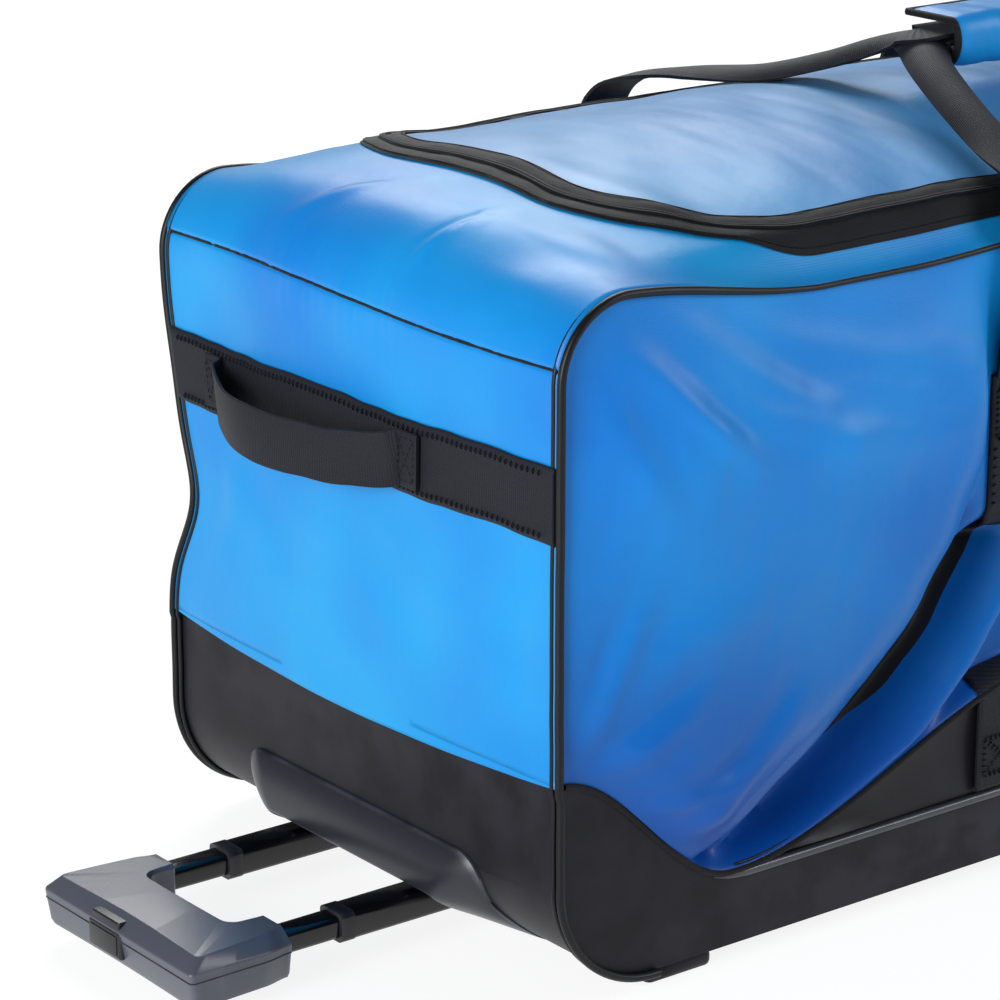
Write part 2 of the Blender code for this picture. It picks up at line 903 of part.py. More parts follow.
def make_bezel():
    """A hood over the tubes with a leg at each end, let into the base's corner."""
    half = bezel_width / 2
    r = bezel_corner_radius
    low = base_underside + 0.0006
    outline = [(half, low), (half, bezel_top - r)]
    outline += arc(half - r, bezel_top - r, r, 0, 90, 5)
    outline += arc(-half + r, bezel_top - r, r, 90, 180, 5)
    outline += [(-half, low)]
    outline.reverse()
    depth = bezel_depth + bezel_proud
    centre = -half_length - bezel_proud + depth / 2
    bezel = plate("handle_bezel", [outline], "YZ", centre, depth, "moulded_grey")
    round_edges(bezel, 0.003, 2)
    cut(bezel, bezel_slot())
    for side, name in ((-1, "near"), (1, "far")):
        y = side * tube_spacing / 2
        room = tube_room(
            name + "_bezel_hole",
            mid_tube_size,
            slide_clearance,
            -half_length - 0.03,
            -half_length + bezel_depth + 0.01,
            y,
        )
        cut(bezel, room)
    return bezel


def make_handle():
    bezel = make_bezel()
    back = -half_length + bezel_depth + 2 * gap
    outer_end = back + outer_tube_length
    lower_parts, upper_parts = [], []
    mid_x = -half_length - mid_end
    grip_x = -half_length - grip_outer_face
    arm_end = grip_x + grip_depth + grip_arm_length
    for side, name in ((-1, "near"), (1, "far")):
        y = side * tube_spacing / 2
        tube(name + "_outer_tube", outer_tube_size, back, outer_end, y)
        mid_start = mid_x + collar_length + gap
        mid_back = mid_start + mid_tube_length
        lower_parts.append(tube(name + "_mid_tube", mid_tube_size, mid_start, mid_back, y))
        w, h = mid_tube_size[0] / 2 + 0.0012, mid_tube_size[1] / 2 + 0.0012
        z = tube_centre_height
        low, high = (mid_x, y - w, z - h), (mid_x + collar_length, y + w, z + h)
        collar = block(name + "_tube_collar", low, high, "moulded_black")
        hole = name + "_collar_hole"
        ends = (mid_x - 0.01, mid_x + collar_length + 0.01)
        cut(collar, tube_room(hole, inner_tube_size, slide_clearance, *ends, y))
        lower_parts.append(collar)
        inner_start = grip_x + grip_depth * 0.5
        upper_parts.append(
            tube(name + "_inner_tube", inner_tube_size, inner_start, inner_start + inner_tube_length, y)
        )
    bracket_low = tube_centre_height - outer_tube_size[1] / 2 - 0.002
    bracket_high = tube_centre_height + outer_tube_size[1] / 2 + 0.0015
    reach = tube_spacing / 2 + outer_tube_size[0] / 2 + 0.006
    block(
        "tube_end_bracket",
        (outer_end + gap, -reach, bracket_low),
        (outer_end + 0.022, reach, bracket_high),
        "moulded_black",
    )
    grip_parts = make_grip(grip_x, arm_end)
    return bezel, lower_parts, upper_parts + grip_parts[:2], grip_parts[2]


def make_grip(x0, arm_end):
    """The U-shaped grip in a lower and an upper half, and its button."""
    half = grip_width / 2
    inner = half - grip_arm_width
    bar = x0 + grip_depth
    fillet = 0.010
    outline = arc(x0 + 0.012, half - 0.012, 0.012, 90, 180, 4)
    outline += arc(x0 + 0.012, -half + 0.012, 0.012, 180, 270, 4)
    outline += [(arm_end, -half + 0.003), (arm_end, -inner)]
    outline += arc(bar + fillet, -inner + fillet, fillet, 270, 180, 4)
    outline += arc(bar + fillet, inner - fillet, fillet, 180, 90, 4)
    outline += [(arm_end, inner), (arm_end, half - 0.003)]
    z = tube_centre_height
    top, bottom = z + grip_thickness / 2, z - grip_thickness / 2
    halves = []
    split = {
        "grip_lower_shell": (z - gap / 2, top + 0.01),
        "grip_upper_shell": (bottom - 0.01, z + gap / 2),
    }
    for name, (a, b) in split.items():
        shell = plate(name, [outline], "XY", z, grip_thickness, "moulded_grey")
        round_edges(shell, 0.0025, 2)
        low, high = (x0 - 0.02, -half - 0.02, a), (arm_end + 0.02, half + 0.02, b)
        away = block(name + "_split", low, high, is_cutter=True)
        cut(shell, away)
        halves.append(shell)
    rooms = []
    for side, name in ((-1, "near"), (1, "far")):
        start = x0 + grip_depth * 0.5 - gap
        y, end = side * tube_spacing / 2, arm_end + 0.01
        rooms.append(tube_room(name + "_grip_socket", inner_tube_size, gap, start, end, y))
    depth, width, height = button_size
    room = block(
        "button_room",
        (bar - depth - button_travel, -width / 2 - gap, z - height / 2 - gap),
        (bar + 0.01, width / 2 + gap, z + height / 2 + gap),
        is_cutter=True,
    )
    for shell in halves:
        for cutter in rooms + [room]:
            cut(shell, cutter)
    button = block(
        "release_button",
        (bar - depth + 0.002, -width / 2, z - height / 2),
        (bar + 0.003, width / 2, z + height / 2),
        "moulded_black",
    )
    round_edges(button, 0.001, 1)
    return halves + [button]


def make_floor_board():
    """A stiff board over the tubes, between the wheel housings and the handle end."""
    low = tube_centre_height + outer_tube_size[1] / 2 + 0.002
    inner = wheel_well()[0][0] - 0.01
    block(
        "floor_board",
        (-half_length + bezel_depth + 0.012, -half_width + tub_wall + 0.002, low),
        (inner, half_width - tub_wall - 0.002, low + 0.004),
        "board",
    )


# ---------------------------------------------------------------- zip sliders


def make_slider(name, x, puller_side):
    """A slider on the near zip run, tilted with the crown, and its puller."""
    y = -lid_half_width - zip_tape_width / 2 - 0.0005
    s = along_top(x)
    base = gusset(s, y, fabric + gap + zip_tape_thickness + 0.0014)
    tilt = math.atan2(bulge(s) * -2 * y / half_width**2, 1.0)
    size = (0.016, 0.010, 0.005)
    body = block(name + "_slider", [-v / 2 for v in size], [v / 2 for v in size], "steel")
    round_edges(body, 0.001, 1)
    body.rotation_euler = (tilt, 0, 0)
    up = Vector((0, -math.sin(tilt), math.cos(tilt)))
    body.location = base + up * size[2] / 2
    length = 0.040
    start = size[0] / 2 + 0.0006
    middle = puller_side * (start + length / 2)
    thickness = 0.003
    puller = block(
        name + "_puller",
        (-length / 2, -0.004, -thickness / 2),
        (length / 2, 0.004, thickness / 2),
        "webbing",
    )
    round_edges(puller, 0.001, 1)
    puller.rotation_euler = (tilt, 0, 0)
    puller.location = base + up * (thickness / 2 + 0.0004) + Vector((middle, 0, 0))
    return body, puller


# ---------------------------------------------------------------- assembly

make_base()
for wheel_side, wheel_name in ((-1, "near"), (1, "far")):
    make_housing(wheel_name, wheel_side)
    tyre, hub = make_wheel(wheel_name, wheel_side)
    hang_on(empty_at(wheel_name + "_wheel_axis", wheel_centre(wheel_side)), tyre, hub)
make_runners()
make_sides()
make_piping()
make_gusset()
zip_strip("zip_tape_fixed", lid_inset, zip_tape_width)
make_end_band("handle_end", False)
make_end_band("wheel_end", True)
make_floor_board()

lid_panel, lid_tape = make_lid()
hinge_height = seam_height + crown + fabric + 0.004
hang_on(empty_at("lid_hinge_axis", (from_handle_end(lid_fold), 0, hinge_height)), lid_panel, lid_tape)

near_strap = make_strap("near_strap", -1, grip_height)
far_strap = make_strap("far_strap", 1, grip_height + 0.006)
strap_wrap = make_wrap()
pivot_y = half_width + 0.0075
hang_on(empty_at("near_strap_axis", (0, -pivot_y, strap_pivot_height)), near_strap, strap_wrap)
hang_on(empty_at("far_strap_axis", (0, pivot_y, strap_pivot_height)), far_strap)

handle_bezel, lower_stage, upper_stage, button = make_handle()
hang_on(empty_at("lower_stage_axis", (-half_length, 0, tube_centre_height)), *lower_stage)
hang_on(empty_at("upper_stage_axis", (-half_length, 0, tube_centre_height)), *upper_stage, button)

make_slider("front_zip", from_handle_end(0.770), -1)
make_slider("rear_zip", from_handle_end(0.790), 1)
bpy.context.view_layer.update()
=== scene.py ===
import json
import math

import bmesh
import bpy
import numpy as np
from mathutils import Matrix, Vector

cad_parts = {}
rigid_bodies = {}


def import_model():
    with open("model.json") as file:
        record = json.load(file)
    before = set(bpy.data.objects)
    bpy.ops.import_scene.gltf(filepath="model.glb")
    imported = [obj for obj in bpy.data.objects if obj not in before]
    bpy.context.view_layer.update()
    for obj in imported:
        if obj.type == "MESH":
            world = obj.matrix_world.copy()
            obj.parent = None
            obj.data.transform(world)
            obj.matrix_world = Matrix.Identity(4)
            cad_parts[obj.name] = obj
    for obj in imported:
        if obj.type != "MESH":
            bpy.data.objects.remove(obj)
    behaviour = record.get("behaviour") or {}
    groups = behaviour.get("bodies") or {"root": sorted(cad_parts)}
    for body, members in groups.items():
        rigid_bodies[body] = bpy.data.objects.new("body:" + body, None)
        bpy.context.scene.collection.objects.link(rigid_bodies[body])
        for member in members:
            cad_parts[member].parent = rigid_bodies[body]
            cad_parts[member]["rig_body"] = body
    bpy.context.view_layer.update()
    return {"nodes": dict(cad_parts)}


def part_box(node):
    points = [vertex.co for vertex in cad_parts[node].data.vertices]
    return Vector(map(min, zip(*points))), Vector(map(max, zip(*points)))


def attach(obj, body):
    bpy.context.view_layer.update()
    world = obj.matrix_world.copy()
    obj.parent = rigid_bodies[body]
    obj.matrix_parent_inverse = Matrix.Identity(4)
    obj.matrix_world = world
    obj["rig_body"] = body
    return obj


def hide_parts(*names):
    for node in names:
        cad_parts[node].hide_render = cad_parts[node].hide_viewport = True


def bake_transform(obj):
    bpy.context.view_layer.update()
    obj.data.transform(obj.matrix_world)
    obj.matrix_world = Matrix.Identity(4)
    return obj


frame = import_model()
print("frame loaded:", len(frame["nodes"]), "nodes")

# Driving sizes, in metres. The overall ones come from the frame, the rest are the design's own.
panelLow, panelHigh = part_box("near_side_panel")
halfLength, halfWidth, seamHeight = panelHigh.x, -panelLow.y, panelHigh.z
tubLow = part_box("base_tub")[0].z
bag = {
    "topRadius": 0.045,
    "lowRadius": 0.070,
    "rimEnds": 0.145,
    "rimMiddle": 0.060,
    "rimRunHandle": 0.130,
    "rimRunWheels": 0.300,
    "crown": 0.038,
    "endBulge": 0.006,
    "cloth": 0.003,
    "skinThick": 0.0016,
    "browSeam": 0.012,
    "insidePoint": (0.0, 0.0, 0.24),
}
endRun = seamHeight - bag["topRadius"] - bag["rimEnds"]
arcRun = math.pi / 2 * bag["topRadius"]
wholeRun = 2 * (endRun + arcRun) + 2 * (halfLength - bag["topRadius"])
bothSides = ((-1, "near"), (1, "far"))
alongY, alongZ = np.array([[0.0, 1.0, 0.0]]), np.array([[0.0, 0.0, 1.0]])


# Separate coordinates, of shapes that fit each other, put together as one array of points.
def joined(*parts):
    return np.stack(np.broadcast_arrays(*parts), -1)


# Points of two coordinates, given a third of nought.
def flatIn3d(points):
    return np.pad(points, ((0, 0), (0, 1)))


# An S-shaped step from 0 to 1: 3t squared less 2t cubed.
def smooth(t):
    t = np.clip(t, 0.0, 1.0)
    return t * t * (3 - 2 * t)


# A bell curve that is 1 at its middle.
def bell(d, width):
    return np.exp(-((d / width) ** 2))


# A gentle, repeatable unevenness: a sum of sine waves in directions drawn from a seeded generator.
def unevenness(a, b, seed, longest, count=7):
    draw = np.random.default_rng(seed)
    total = np.zeros(np.broadcast(a, b).shape)
    for k in range(count):
        turn, phase = draw.uniform(0, 2 * math.pi, 2)
        wave = longest * 0.72**k
        step = 2 * math.pi / wave
        total += 0.72**k * np.sin(step * (a * math.cos(turn) + b * math.sin(turn)) + phase)
    return total / 2.2


# A crease between two points: a ridge with a softer trough on one side, fading at both ends.
def crease(a, b, start, end, width, height):
    da, db = end[0] - start[0], end[1] - start[1]
    run = math.hypot(da, db)
    along = ((a - start[0]) * da + (b - start[1]) * db) / run**2
    off = ((a - start[0]) * -db + (b - start[1]) * da) / run
    fade = smooth(along / 0.3) * smooth((1 - along) / 0.45)
    return height * fade * (bell(off, width) - 0.6 * bell(off - 1.3 * width, width))


# Values from low to high, closer together at both ends as the power grows.
def spread(low, high, count, power=1.0):
    t = np.linspace(-1, 1, count)
    t = np.sign(t) * (1 - (1 - np.abs(t)) ** power)
    return low + (high - low) * (t + 1) / 2


# Top edge of the moulded base: high at both ends, low between them.
def rimHeight(x):
    nearer = np.minimum((x + halfLength) / bag["rimRunHandle"], (halfLength - x) / bag["rimRunWheels"])
    return bag["rimMiddle"] + (bag["rimEnds"] - bag["rimMiddle"]) * (1 - smooth(nearer))


# Lower edge of the blue side: on the rim at the ends, arched up over the skirt between them.
def blueEdge(x):
    t = np.clip((x + halfLength - 0.14) / 0.56, 0, 1)
    return rimHeight(x) + 0.080 * np.sin(math.pi * t) ** 1.7


# Top edge of the side: the seam's height, rounded down in a quarter circle at both ends.
def sideTop(x):
    r = bag["topRadius"]
    into = np.clip(r - (halfLength - np.abs(x)), 0, r)
    return seamHeight - r + np.sqrt(np.maximum(r * r - into * into, 0))


# Where the filled bag has settled: the long top seams sag, and the far side is drawn in at the handle end.
def settle(p):
    x, y, z = p[..., 0], p[..., 1].copy(), p[..., 2].copy()
    fromEnd = halfLength - np.abs(x)
    sag = 0.018 * smooth((fromEnd - 0.035) / 0.16) - 0.004 * bell(fromEnd - 0.35, 0.05)
    z = z - sag * smooth((np.abs(y) - 0.172) / 0.026) * smooth((z - 0.30) / 0.09)
    drawn = 0.012 * bell(p[..., 2] - 0.290, 0.050) + 0.026 * bell(p[..., 2] - 0.225, 0.042)
    y = y - drawn * bell(x + halfLength, 0.15) * smooth(y / halfWidth)
    return joined(x, y, z)


# The bag's outline seen from the side, by its run s from the handle end's rim: straight up, a quarter circle,
# along the top and down again. Gives x, z and the direction outwards.
def gussetProfile(s):
    d = np.minimum(s, wholeRun - s)
    bend = np.clip((d - endRun) / arcRun, 0, 1) * math.pi / 2
    r = bag["topRadius"]
    x = -halfLength + r * (1 - np.cos(bend)) + np.maximum(d - endRun - arcRun, 0)
    z = bag["rimEnds"] + np.minimum(d, endRun) + r * np.sin(bend)
    side = np.where(s > wholeRun / 2, -1.0, 1.0)
    return x * side, z, -np.cos(bend) * side, np.sin(bend)


# The run s of a place on the top.
def alongTop(x):
    return endRun + arcRun + x + halfLength - bag["topRadius"]


lid = {"start": 0.094, "fold": 0.900, "halfWidth": 0.172, "corner": 0.108}
lidEdge = alongTop(lid["start"] - halfLength)
lidFold = alongTop(lid["fold"] - halfLength)

# s and y of the start and of the end, width, height
gussetCreases = (
    ((0.262, -0.05), (0.335, -0.085), 0.0040, 0.0022),
    ((0.255, -0.125), (0.300, -0.118), 0.0030, 0.0016),
    ((0.250, -0.160), (0.292, -0.150), 0.0030, 0.0016),
    ((0.262, 0.09), (0.320, 0.02), 0.0060, 0.0018),
    ((0.150, -0.190), (0.060, -0.120), 0.0120, 0.0022),
    ((0.020, -0.175), (0.110, -0.150), 0.0090, -0.0016),
    ((0.330, -0.190), (0.300, -0.060), 0.0140, 0.0026),
    ((0.400, -0.180), (0.350, 0.060), 0.0200, 0.0024),
    ((0.030, 0.170), (0.150, 0.120), 0.0120, 0.0020),
)


# How far the gusset stands off its profile: the crown across it, then dents, creases and seam puckers.
def gussetOut(s, y):
    d = np.minimum(s, wholeRun - s)
    across = 1 - (y / halfWidth) ** 2
    out = (bag["endBulge"] + (bag["crown"] - bag["endBulge"]) * smooth((d - endRun) / 0.170)) * across
    free = smooth((halfWidth - np.abs(y)) / 0.05)
    wheelEnd = s > wholeRun / 2
    dents = unevenness(s, y, 4, 0.34) * 0.0024 + unevenness(s * 1.1, y, 9, 0.14) * 0.0006
    out = out + free * dents * (0.4 + 0.6 * smooth(d / 0.08))
    for start, end, width, height in gussetCreases:
        out = out + free * crease(np.where(wheelEnd, d + 0.01, d), y, start, end, width, height)
    seam = d - endRun - bag["browSeam"] - 0.003 * np.sin(y * 11)
    pucker = unevenness(y, y * 0, 3, 0.045) * 0.0011 + unevenness(y, y * 0, 5, 0.016, 4) * 0.0005
    out = out + free * pucker * np.exp(-np.abs(seam) / 0.010)
    out = out + 0.0009 * smooth((seam + 0.0012) / 0.0024) * (1 - smooth((seam - 0.05) / 0.1))
    return out - 0.0011 * bell(seam, 0.0014)


# A point on the settled gusset: its profile moved outwards by gussetOut and a lift.
def gusset(s, y, lift=0.0):
    x, z, nx, nz = gussetProfile(s)
    out = gussetOut(s, y) + lift
    return settle(joined(x + out * nx, y, z + out * nz))


# The four-cornered faces of a grid of points, numbered row by row.
def gridFaces(rows, columns, start):
    first = (np.arange(rows - 1)[:, None] * columns + np.arange(columns - 1)[None, :]).ravel() + start
    return np.stack([first, first + columns, first + columns + 1, first + 1], 1)


# A piece from one or more grids of points. Each patch is (points, uv, material index).
def makePiece(name, patches, body, finishes, outFrom=None, replaced=(), sharp=40):
    points, faces, uvs, owners, start = [], [], [], [], 0
    for grid, uv, owner in patches:
        rows, columns = grid.shape[:2]
        made = gridFaces(rows, columns, start)
        points.append(grid.reshape(-1, 3))
        uvs.append((np.zeros((rows, columns, 2)) if uv is None else uv).reshape(-1, 2))
        faces.append(made)
        owners.append(np.full(len(made), owner))
        start += rows * columns
    points, faces, uvs = np.concatenate(points), np.concatenate(faces), np.concatenate(uvs)
    mesh = bpy.data.meshes.new(name)
    mesh.vertices.add(len(points))
    mesh.vertices.foreach_set("co", points.astype(np.float32).ravel())
    mesh.loops.add(faces.size)
    mesh.loops.foreach_set("vertex_index", faces.astype(np.int32).ravel())
    mesh.polygons.add(len(faces))
    mesh.polygons.foreach_set("loop_start", np.arange(0, faces.size, 4, dtype=np.int32))
    mesh.polygons.foreach_set("material_index", np.concatenate(owners).astype(np.int32))
    mesh.update(calc_edges=True)
    layer = mesh.uv_layers.new(name="UVMap")
    layer.uv.foreach_set("vector", uvs[faces.ravel()].astype(np.float32).ravel())
    form = bmesh.new()
    form.from_mesh(mesh)
    bmesh.ops.remove_doubles(form, verts=form.verts, dist=0.000002)
    bmesh.ops.dissolve_degenerate(form, dist=0.000001, edges=form.edges)
    bmesh.ops.recalc_face_normals(form, faces=form.faces)
    form.to_mesh(mesh)
    form.free()
    if outFrom is not None:
        turnOut(mesh, outFrom)
    mesh.shade_smooth()
    mesh.set_sharp_from_angle(angle=math.radians(sharp))
    return enlist(name, mesh, body, finishes, replaced)


# Faces of an open skin are turned to point away from a place inside it.
def turnOut(mesh, inside):
    count = len(mesh.polygons)
    normals, centres = np.empty(count * 3), np.empty(count * 3)
    mesh.polygons.foreach_get("normal", normals)
    mesh.polygons.foreach_get("center", centres)
    outward = (normals.reshape(-1, 3) * (centres.reshape(-1, 3) - np.array(inside))).sum(1)
    if outward.sum() < 0:
        mesh.flip_normals()


def addToScene(name, data):
    made = bpy.data.objects.new(name, data)
    bpy.context.scene.collection.objects.link(made)
    return made


# An object for the mesh, with its finishes and body; the nodes it stands for are hidden.
def enlist(name, mesh, body, finishes, replaced=()):
    piece = addToScene(name, mesh)
    mesh.materials.clear()
    for finish in finishes:
        mesh.materials.append(finish)
    if body:
        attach(piece, body)
    if replaced:
        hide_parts(*replaced)
    return piece


def addModifier(piece, kind, **values):
    modifier = piece.modifiers.new(kind.lower(), kind)
    for key, value in values.items():
        setattr(modifier, key, value)
    return modifier


def thicken(piece, thickness, lining=0):
    addModifier(piece, "SOLIDIFY", thickness=thickness, offset=-1.0, material_offset=lining)


# Unit vectors along a path of points.
def tangents(path):
    step = np.gradient(path, axis=0)
    return step / np.linalg.norm(step, axis=1, keepdims=True)


# Vectors at length 1.
def unit(v):
    return v / np.maximum(np.linalg.norm(v, axis=-1, keepdims=True), 1e-12)


# Distance along a path of points, from its start.
def runAlong(path):
    return np.concatenate([[0], np.cumsum(np.linalg.norm(np.diff(path, axis=0), axis=1))])


# A closed profile (points of across and up) carried along a path. side gives the across direction.
def sweep(path, side, profile, caps=True, scale=None):
    t = tangents(path)
    across = unit(side - (side * t).sum(1, keepdims=True) * t)
    up = np.cross(t, across)
    ring = np.concatenate([profile, profile[:1]])
    size = np.ones(len(path)) if scale is None else scale
    grid = path[:, None] + size[:, None, None] * (
        across[:, None] * ring[None, :, :1] + up[:, None] * ring[None, :, 1:]
    )
    run = runAlong(path)
    around = runAlong(flatIn3d(ring))
    if caps:
        ends = [np.broadcast_to(path[k], (1, len(ring), 3)) for k in (0, -1)]
        grid = np.concatenate([ends[0], grid, ends[1]])
        run = np.concatenate([run[:1], run, run[-1:]])
    return grid, joined(run[:, None], around[None, :])


# A grid of rings with both ends drawn in to a point, which closes them.
def closedEnds(grid):
    caps = [np.broadcast_to(grid[k].mean(0), (1,) + grid.shape[1:]) for k in (0, -1)]
    return np.concatenate([caps[0], grid, caps[1]])


# A round or oval profile.
def circle(radius, steps=12, flatten=1.0):
    angle = np.arange(steps) * 2 * math.pi / steps
    return radius * np.stack([np.cos(angle), flatten * np.sin(angle)], 1)


# An oblong profile: four quarter circles set in from its corners.
def roundedBox(width, height, radius, steps=4):
    found = []
    for k, (sx, sy) in enumerate(((1, 1), (-1, 1), (-1, -1), (1, -1))):
        angle = np.linspace(0, math.pi / 2, steps + 1) + k * math.pi / 2
        x = sx * (width / 2 - radius) + radius * np.cos(angle)
        y = sy * (height / 2 - radius) + radius * np.sin(angle)
        found.append(np.stack([x, y], 1))
    return np.concatenate(found)


# A flat strip of webbing along a path: across direction given, with a thickness and soft edges.
def ribbon(path, side, width, thickness):
    return sweep(path, side, roundedBox(width, thickness, thickness * 0.45, 2))


# A profile of radius and distance along Y, turned about an axis along Y.
def lathe(profile, centre, steps=96):
    angle = np.linspace(0, 2 * math.pi, steps + 1)[:, None]
    radius, y = profile[None, :, 0], profile[None, :, 1]
    grid = joined(centre[0] + radius * np.cos(angle), centre[1] + y, centre[2] + radius * np.sin(angle))
    return grid, joined(angle * 0.045, runAlong(flatIn3d(profile))[None, :])


# A Catmull-Rom curve: a cubic between each pair of points that leaves them along their neighbours' chord.
def catmullRom(points, perSpan):
    p = np.array(points, float)
    p = np.concatenate([[2 * p[0] - p[1]], p, [2 * p[-1] - p[-2]]])
    t = (np.arange(perSpan) / perSpan)[None, :, None]
    a, b, c, d = (p[k : len(p) - 3 + k, None] for k in range(4))
    curve = 0.5 * (2 * b + (c - a) * t + (2 * a - 5 * b + 4 * c - d) * t * t + (3 * b - a - 3 * c + d) * t**3)
    return np.concatenate([curve.reshape(-1, p.shape[1]), p[-2:-1]])


# A colour of 0 to 255 in each part, as Blender's linear values.
def linear(*parts):
    return tuple(((v / 255 + 0.055) / 1.055) ** 2.4 if v > 10 else v / 255 / 12.92 for v in parts) + (1,)


# A material on Blender's Principled shader, with the few nodes that the finishes below share.
class Finish:
    def __init__(self, name, colour, roughness, **sockets):
        self.material = bpy.data.materials.new(name)
        self.material.use_nodes = True
        self.tree = self.material.node_tree
        self.shader = self.tree.nodes["Principled BSDF"]
        self.shader.inputs["Base Color"].default_value = colour
        self.shader.inputs["Roughness"].default_value = roughness
        for key, value in sockets.items():
            self.shader.inputs[key.replace("_", " ")].default_value = value
        self.place = self.tree.nodes.new("ShaderNodeTexCoord")
        self.normal = None

    def node(self, kind, values=None, **links):
        made = self.tree.nodes.new(kind)
        for key, value in (values or {}).items():
            if key in made.inputs:
                made.inputs[key].default_value = value
            else:
                setattr(made, key, value)
        for key, source in links.items():
            self.tree.links.new(source, made.inputs[key])
        return made

    def noise(self, scale, detail=3.0, where="Object", stretch=None):
        source = self.place.outputs[where]
        if stretch:
            source = self.node("ShaderNodeMapping", {"Scale": stretch}, Vector=source).outputs[0]
        return self.node("ShaderNodeTexNoise", {"Scale": scale, "Detail": detail}, Vector=source).outputs["Fac"]

    # Even ribs across one axis, a period apart, from Blender's wave bands.
    def ribs(self, axis, period, where="UV", profile="SIN"):
        values = {"Scale": 2 * math.pi / 20 / period, "bands_direction": axis, "wave_profile": profile}
        return self.node("ShaderNodeTexWave", values, Vector=self.place.outputs[where]).outputs["Fac"]

    def mix(self, share, first, second):
        made = self.node("ShaderNodeMix", {"data_type": "RGBA"})
        self.tree.links.new(share, made.inputs[0])
        for socket, value in ((made.inputs[6], first), (made.inputs[7], second)):
            if isinstance(value, tuple):
                socket.default_value = value
            else:
                self.tree.links.new(value, socket)
        return made.outputs[2]

    def ramp(self, source, low, high, lowValue=0.0, highValue=1.0):
        values = {"From Min": low, "From Max": high, "To Min": lowValue, "To Max": highValue}
        return self.node("ShaderNodeMapRange", values, Value=source).outputs[0]

    def product(self, first, second):
        made = self.node("ShaderNodeMath", {"operation": "MULTIPLY"})
        self.tree.links.new(first, made.inputs[0])
        self.tree.links.new(second, made.inputs[1])
        return made.outputs[0]

    def colour(self, source):
        self.tree.links.new(source, self.shader.inputs["Base Color"])

    def roughness(self, source, low, high):
        self.tree.links.new(self.ramp(source, 0.3, 0.7, low, high), self.shader.inputs["Roughness"])

    def bump(self, height, distance, strength=1.0):
        made = self.node("ShaderNodeBump", {"Strength": strength, "Distance": distance}, Height=height)
        if self.normal:
            self.tree.links.new(self.normal, made.inputs["Normal"])
        self.normal = made.outputs[0]
        self.tree.links.new(self.normal, self.shader.inputs["Normal"])


# Coated polyester: satin, faintly mottled, a fine plain weave under the coat and soft handling marks. Given a
# lower colour, it turns to it towards the bottom: painted shade.
def coatedCloth(name, deep, light, weave=0.0011, shine=0.40, specular=0.26, lower=None):
    made = Finish(name, light, shine, Specular_IOR_Level=specular, Coat_Weight=0.03, Coat_Roughness=0.3)
    cloth = made.mix(made.ramp(made.noise(5.0, 2.0), 0.35, 0.65), deep, light)
    # painted shade: the cloth turns to the darker lower colour from 0.33 m down to 0.10 m, where less light falls
    if lower:
        height = made.node("ShaderNodeSeparateXYZ", Vector=made.place.outputs["Object"]).outputs["Z"]
        cloth = made.mix(made.ramp(height, 0.10, 0.33), lower, cloth)
    made.colour(cloth)
    made.roughness(made.noise(16.0, 4.0), shine - 0.04, shine + 0.08)
    made.bump(made.noise(26.0, 3.0), 0.0009, 0.5)
    made.bump(made.noise(140.0, 3.0), 0.00022, 0.5)
    made.bump(made.product(made.ribs("X", weave), made.ribs("Y", weave)), 0.00008, 0.6)
    return made.material


# Woven tape: ribs across its length, finer ones along it, a slightly fuzzy matt yarn.
def wovenTape(name, dark, pale, rib=0.0017, shine=0.62, specular=0.20, fuzz=0.04):
    made = Finish(name, dark, shine, Specular_IOR_Level=specular, Sheen_Weight=fuzz, Sheen_Roughness=0.4)
    yarn = made.noise(900.0, 2.0)
    cross = made.product(made.ribs("X", rib), made.ribs("Y", rib * 0.62))
    made.colour(made.mix(made.ramp(made.product(cross, yarn), 0.05, 0.6), dark, pale))
    made.bump(made.noise(40.0, 3.0), 0.0008, 0.5)
    made.bump(cross, 0.00028, 0.8)
    return made.material


# Injection-moulded plastic: fine spark grain, soft mottling, edges a little lighter: partly rubbed wear, partly a
# painted highlight where light catches them.
def moulded(name, body, rubbedAndLitEdge, shine=0.4, grain=620.0, specular=0.5):
    made = Finish(name, body, shine, Specular_IOR_Level=specular)
    # edges lightened by pointiness: partly rubbed wear, partly a painted highlight
    edge = made.node("ShaderNodeNewGeometry").outputs["Pointiness"]
    wornAndLitEdges = made.product(made.ramp(edge, 0.52, 0.62), made.ramp(made.noise(30.0, 4.0), 0.35, 0.6))
    mottled = made.mix(made.noise(9.0, 3.0), body, tuple(v * 1.05 for v in body[:3]) + (1,))
    made.colour(made.mix(wornAndLitEdges, mottled, rubbedAndLitEdge))
    made.roughness(made.noise(22.0, 5.0), shine - 0.01, shine + 0.02)
    made.bump(made.noise(9.0, 1.0), 0.00015, 0.2)
    made.bump(made.noise(grain, 2.0), 0.00010, 0.55)
    return made.material


# Drawn metal: long fine lines along X and a few faint rubs.
def drawnMetal(name, body, pale, metallic, shine, along=(6.0, 700.0, 700.0)):
    made = Finish(name, body, shine, Metallic=metallic, Specular_IOR_Level=0.5)
    lines = made.noise(1.0, 3.0, stretch=along)
    made.colour(made.mix(made.ramp(lines, 0.45, 0.75), body, pale))
    made.roughness(made.noise(50.0, 4.0), shine - 0.05, shine + 0.10)
    made.bump(lines, 0.00004, 0.5)
    return made.material


# Rubber or board: speckled and matt, with a grain as deep as it is told.
def plainRough(name, body, other, shine, scale, depth):
    made = Finish(name, body, shine, Specular_IOR_Level=0.3)
    speckle = made.noise(scale, 4.0)
    made.colour(made.mix(made.ramp(speckle, 0.35, 0.7), body, other))
    made.roughness(made.noise(scale * 0.2, 3.0), shine - 0.08, shine + 0.08)
    made.bump(speckle, depth, 0.6)
    return made.material


